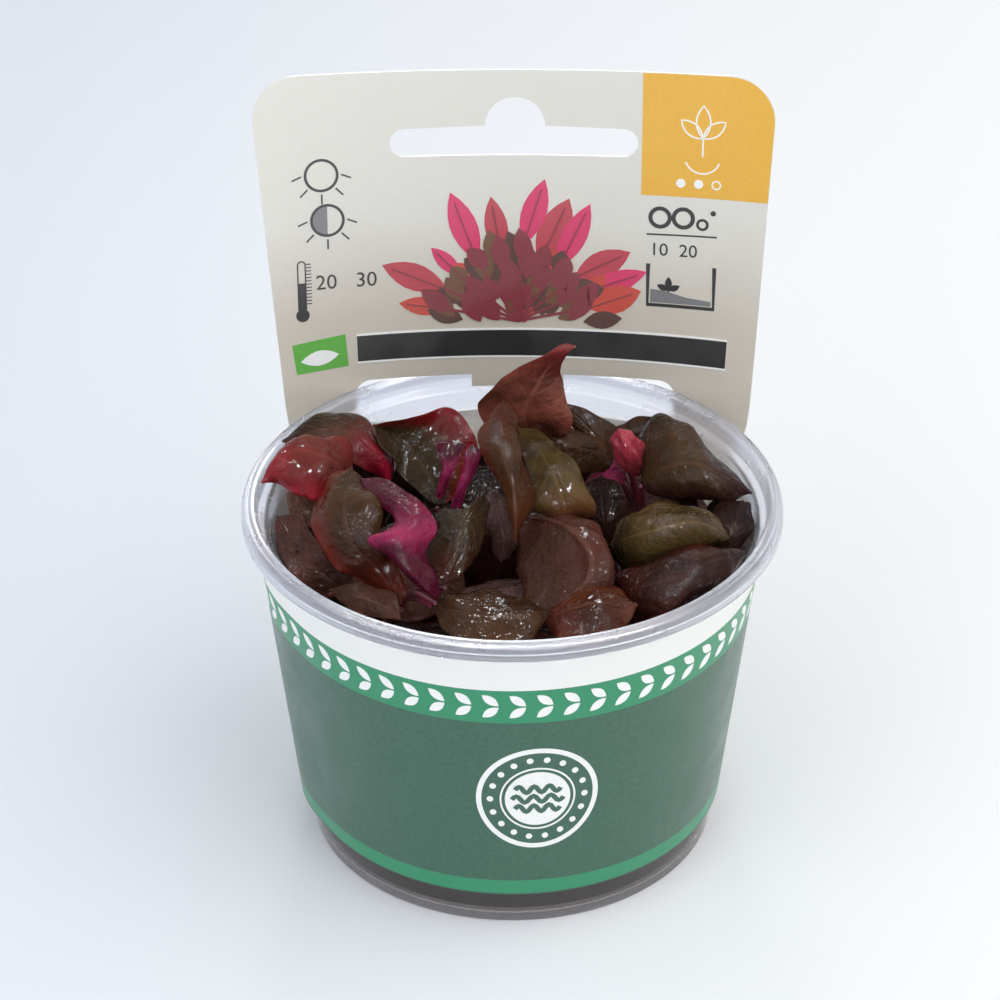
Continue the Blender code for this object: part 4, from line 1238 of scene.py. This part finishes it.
DETAILS = {
    1: dict(fold=0, curl=0.8, blush_and_shade=(0, 0.9, 0.9, 0.2), ripple=0.2),
    2: dict(fold=0.2, blush_and_shade=(1.0, 0, 0.2, 0)),
    3: dict(fold=0.2, curl=0.5, blush_and_shade=(0.4, 0, 0.6, 0)),
    # Leaf 4's foot and tip take the dark purple blush of its kind: painted shade of its fold.
    4: dict(fold=0.3, ripple=0.4, blush_and_shade=(2.2, 2.2, 0, 0), crumple=0.5),
    5: dict(fold=0.2, blush_and_shade=(0.2, 0, 0, 0)),
    6: dict(fold=0, curl=-0.6, crumple=0.3, blush_and_shade=(0, 1.6, 0, 0)),
    7: dict(fold=0, curl=-0.6, crumple=0.3, blush_and_shade=(0, 1.2, 0, 0)),
    8: dict(fold=0.3, blush_and_shade=(0, 0, 0, 0.9)),
    9: dict(fold=0.3, blush_and_shade=(0, 0.4, 0, 0.1), ripple=0.6),
    10: dict(fold=0.5, curl=0.4, blush_and_shade=(0.2, 0.2, 0.1, 0.4)),
    12: dict(fold=0.2, blush_and_shade=(0, 0.4, 0, 0), crumple=1.2),
    13: dict(fold=0, curl=0.6, blush_and_shade=(0, 0.3, 0, 0.2)),
    15: dict(fold=0.2, curl=0.5, blush_and_shade=(0.3, 0.1, 0.2, 0)),
    16: dict(fold=0.2, curl=0.5, blush_and_shade=(0.2, 0, 0.4, 0)),
    17: dict(fold=0.1, curl=0.6, crumple=1.3),
    # Leaf 19's tip and lower margin take painted shade, where the margin folds under.
    19: dict(fold=0.3, blush_and_shade=(0.1, 1.0, 0, 0.9)),
    23: dict(fold=0.3, blush_and_shade=(1.0, 1.0, 1.0, 1.0)),
}
leaf_feet = []
for number, (kind, growth, *drawn) in enumerate(LEAVES, 1):
    lines = drawn_lines(growth, *drawn)
    leaf_feet.append(lines[1][0])
    details = DETAILS.get(number, {})
    leaf_piece(f"curled_leaf_{number:02d}", number, kind, lines, f"leaf_{number:02d}", **details)

# %% [markdown]
# Below them, dark leaves fill the cup and close the view of the jelly. They hardly show, so a plain rule
# gives their margins: a full width, widest before the middle, to both sides of the midrib. A row holds the
# width, the way that the blade faces and the points of its midrib. For a leaf along the wall it holds only
# the turn round the cup and the height of the tip.

# %% The leaves in the shade
DEEP_LEAVES = [
    (28, (0, -0.4, 0.9), [(6, -9, 46), (4, -22, 52), (0, -34, 51)]),
    (26, (0.3, -0.2, 0.9), [(19, 0, 47), (30, -4, 52), (40, -9, 52)]),
    (26, (0, -0.2, 0.95), [(-8, -2, 46), (-20, -1, 52), (-31, 2, 52)]),
    (27, (0, 0.3, 0.9), [(-3, 16, 44), (-3, 28, 51), (-2, 37, 51)]),
    (24, (0.4, 0.2, 0.9), [(20, 8, 46), (29, 18, 51), (34, 25, 51)]),
    (26, (0, -0.5, 0.9), [(-8, -8, 44), (-11, -22, 49), (-11, -33, 50)]),
    (24, (0.2, -0.5, 0.8), [(15, -12, 45), (23, -22, 52), (32, -27, 52)]),
    (22, (0, -0.9, 0.4), [(9, 8, 30), (9, 6, 43), (9, 2, 54)]),
    (22, (0, -0.9, 0.4), [(-3, 12, 30), (-3, 8, 45), (-2, 4, 56)]),
    (24, (0, -0.9, 0.4), [(-17, 8, 27), (-17, 5, 39), (-17, 2, 50)]),
    (22, (0, -0.9, 0.4), [(25, 6, 28), (26, 3, 41), (26, 0, 51)]),
    (26, (0, -0.9, 0.4), [(5, -10, 26), (5, -13, 38), (4, -14, 48)]),
    (26, (0, -0.9, 0.4), [(-12, -9, 25), (-13, -13, 36), (-13, -15, 46)]),
    (24, (0, -0.9, 0.4), [(18, -11, 26), (19, -15, 38), (19, -16, 48)]),
]
LOW_LEAF = (16, (0, -0.2, 1), [(-4, -4, 50), (-1, -13, 54), (2, -22, 55)])
WALL_LEAVES = [(-16, 60), (10, 62), (34, 61), (60, 58), (90, 57), (116, 58), (141, 61), (166, 62), (194, 60),
               (-42, 55), (-68, 52), (-94, 51), (-120, 52), (-144, 55)]
WALL_LEAF_WIDTH = 25
TILT_UP = Vector((0, 0, 0.5))


def plain_lines(width, face, rib):
    """Left margin, midrib and right margin of a plain flat blade."""
    path = smooth_path(rib, 6)
    margins = ([], [])
    for index, share in ((1, 0.8), (2, 1.0), (3, 0.85), (4, 0.5)):
        ahead = (path[index + 1] - path[index - 1]).normalized()
        side = ahead.cross(Vector(face)).normalized()
        for margin, sign in zip(margins, (-1, 1)):
            margin.append(tuple(path[index] + sign * share * width / 2 * side))
    return [margins[0], rib, margins[1]]


for number, row in enumerate(DEEP_LEAVES, len(LEAVES) + 1):
    kind = ("dusky", "dark")[number % 2]
    leaf_piece(f"curled_leaf_{number:02d}", number, kind, plain_lines(*row), f"leaf_{number:02d}")
for number, (turn, top) in enumerate(WALL_LEAVES, 1):
    out = Vector((cos(radians(turn)), sin(radians(turn)), 0))
    rib = [out * radius + Vector((0, 0, height)) for radius, height in ((24, 26), (34, 43), (38.5, top))]
    lines = plain_lines(WALL_LEAF_WIDTH, TILT_UP - out, rib)
    leaf_piece(f"wall_leaf_{number}", 50 + number, "dark", lines, curl=-0.5)
leaf_piece("low_leaf", 70, "mauve", plain_lines(*LOW_LEAF))


# %% [markdown]
# ## Stems, stalks and the young leaf
# Soft stems stand in the jelly, and every leaf hangs on one by a thin pink stalk. All are tubes that taper
# along a curve, so one tree makes them: it sweeps a circle along a line of points and scales it by the girth
# that each point carries. A stalk starts on the nearest stem and ends at the foot of its leaf. The tenth
# leaf is the turned-over part of the ninth, so it has none. The young leaf is a ball that is drawn out,
# lobed and pushed over by a rule and by noise, because it is rolled up and shows no blade.

# %% A tree for tapered tubes
tube_tree, given = new_tree("tapered_tube", Sides="Int", Material="Material")
track = geo(tube_tree, "MeshToCurve", Mesh=given["Geometry"])
section = geo(tube_tree, "CurvePrimitiveCircle", Resolution=given["Sides"], Radius=1.0)
girth = geo(tube_tree, "InputNamedAttribute", Name="girth")
tube = geo(tube_tree, "CurveToMesh", Curve=track, Profile_Curve=section, Scale=girth, Fill_Caps=True)
end_tree(tube_tree, tube, given["Material"])


def tapered(points, count, thick, loss):
    """Places and radii along a smooth path that loses some of its thickness on the way."""
    return [(tuple(point), thick - loss * index / (count - 1))
            for index, point in enumerate(smooth_path(points, count))]


def tubes(name, paths, sides, material):
    """Tubes along paths of point and radius pairs, in millimetres."""
    mesh = bpy.data.meshes.new(name)
    corners, links = [], []
    for path in paths:
        links += [(i, i + 1) for i in range(len(corners), len(corners) + len(path) - 1)]
        corners += path
    mesh.from_pydata([mm(*point) for point, _ in corners], links, [])
    store(mesh, "girth", "FLOAT", [mm(size) for _, size in corners])
    made = grown(mesh, tube_tree, Sides=sides, Material=material)
    made.shade_smooth()
    return new_object(name, made, material)


# %% Stems with their stalks
STEMS = [((-8, 9, 15.3), (-12, 13, 47)), ((6, 11, 15.3), (9, 14, 49)), ((0, -3, 15.3), (1, -5, 42)),
         ((-15, -4, 15.3), (-21, -7, 47)), ((14, -6, 15.3), (21, -9, 48)), ((17, 12, 15.3), (24, 17, 48)),
         ((-14, 17, 15.3), (-20, 23, 45))]
BUD_FOOT = (21.5, 14.5, 62)
FOLDED_OVER = 10
BOW = 0.15
UPPER_PART = 9
STALK_END_SINK = 0.9
KNEE_RISE, KNEE_SAG = 0.12, 1.0
stem_finish = new_finish("moist_stem", Coat_Weight=0.8, Coat_Roughness=0.07, Coat_IOR=1.33)
stem_colour = mixed(stem_finish, ramp(stem_finish, grain(stem_finish, 120.0, 4.0), 0.35, 0.65),
                    srgb(132, 38, 68), srgb(72, 22, 34))
set_look(stem_finish, stem_colour, varied(stem_finish, 300.0, 0.3, 0.5), grain(stem_finish, 500.0), 0.3)
stem_paths = []
for foot, head in STEMS:
    foot, head = Vector(foot), Vector(head)
    bow = BOW * Vector((head.y - foot.y, foot.x - head.x, 0))
    stem_paths.append(tapered([foot, (foot + head) / 2 + bow, head], 16, 1.5, 0.5))
upper_stems = [(which, Vector(point)) for which, path in enumerate(stem_paths)
               for point, _ in path[UPPER_PART:]]
stalk_paths = [[] for _ in STEMS]
for leaf_foot in leaf_feet[:FOLDED_OVER - 1] + leaf_feet[FOLDED_OVER:] + [BUD_FOOT]:
    leaf_foot = Vector(leaf_foot) - Vector((0, 0, STALK_END_SINK))
    which, start = min(upper_stems, key=lambda stem: (stem[1] - leaf_foot).length)
    knee = 0.5 * (start + leaf_foot) + Vector((0, 0, KNEE_RISE * (start - leaf_foot).length - KNEE_SAG))
    stalk_paths[which].append(tapered([start, knee, leaf_foot], 12, 1.0, 0.65))
for number, (stem_path, stalks) in enumerate(zip(stem_paths, stalk_paths), 1):
    piece = tubes(f"plant_stem_{number:02d}", [stem_path] + stalks, 12, stem_finish)
    dress(piece, "stem", f"stem_{number:02d}")

# %% The closed young leaf
BUD_MIDDLE = Vector((21, 14, 66))
BUD_SIZE = (2.7, 2.5, 4.6)
BUD_LEAN = 0.35
YOUNG_COLOURS = ((194, 66, 80), (122, 42, 52), (192, 82, 94), (98, 24, 40), (136, 28, 48))
bud_shape = bmesh.new()
bmesh.ops.create_uvsphere(bud_shape, u_segments=48, v_segments=36, radius=1)
facts = []
for vert in bud_shape.verts:
    turn, rise = atan2(vert.co.y, vert.co.x), vert.co.z
    swell = 1 + 0.10 * (1 - rise * rise) * sin(4 * turn + 2.5 * rise)
    swell += 0.16 * noise.noise(vert.co * 2.1) + 0.08 * noise.noise(vert.co * 5.0)
    spot = Vector([swell * size * value for size, value in zip(BUD_SIZE, vert.co)])
    spot.x -= BUD_LEAN * spot.z
    vert.co = mm(*(BUD_MIDDLE + spot))
    facts += [0.9 * sin(2 * atan2(spot.y, spot.x)), 0.1 * (spot.z + 5), 0]
bud_mesh = mesh_of(bud_shape, "rolled_bud")
store(bud_mesh, "blade", "FLOAT_VECTOR", facts)
bud_mesh.shade_smooth()
bud = new_object("rolled_bud", bud_mesh, leaf_finish("young_leaf", YOUNG_COLOURS, 1.0))
dress(bud, "leaf_magenta", "bud_crimson")
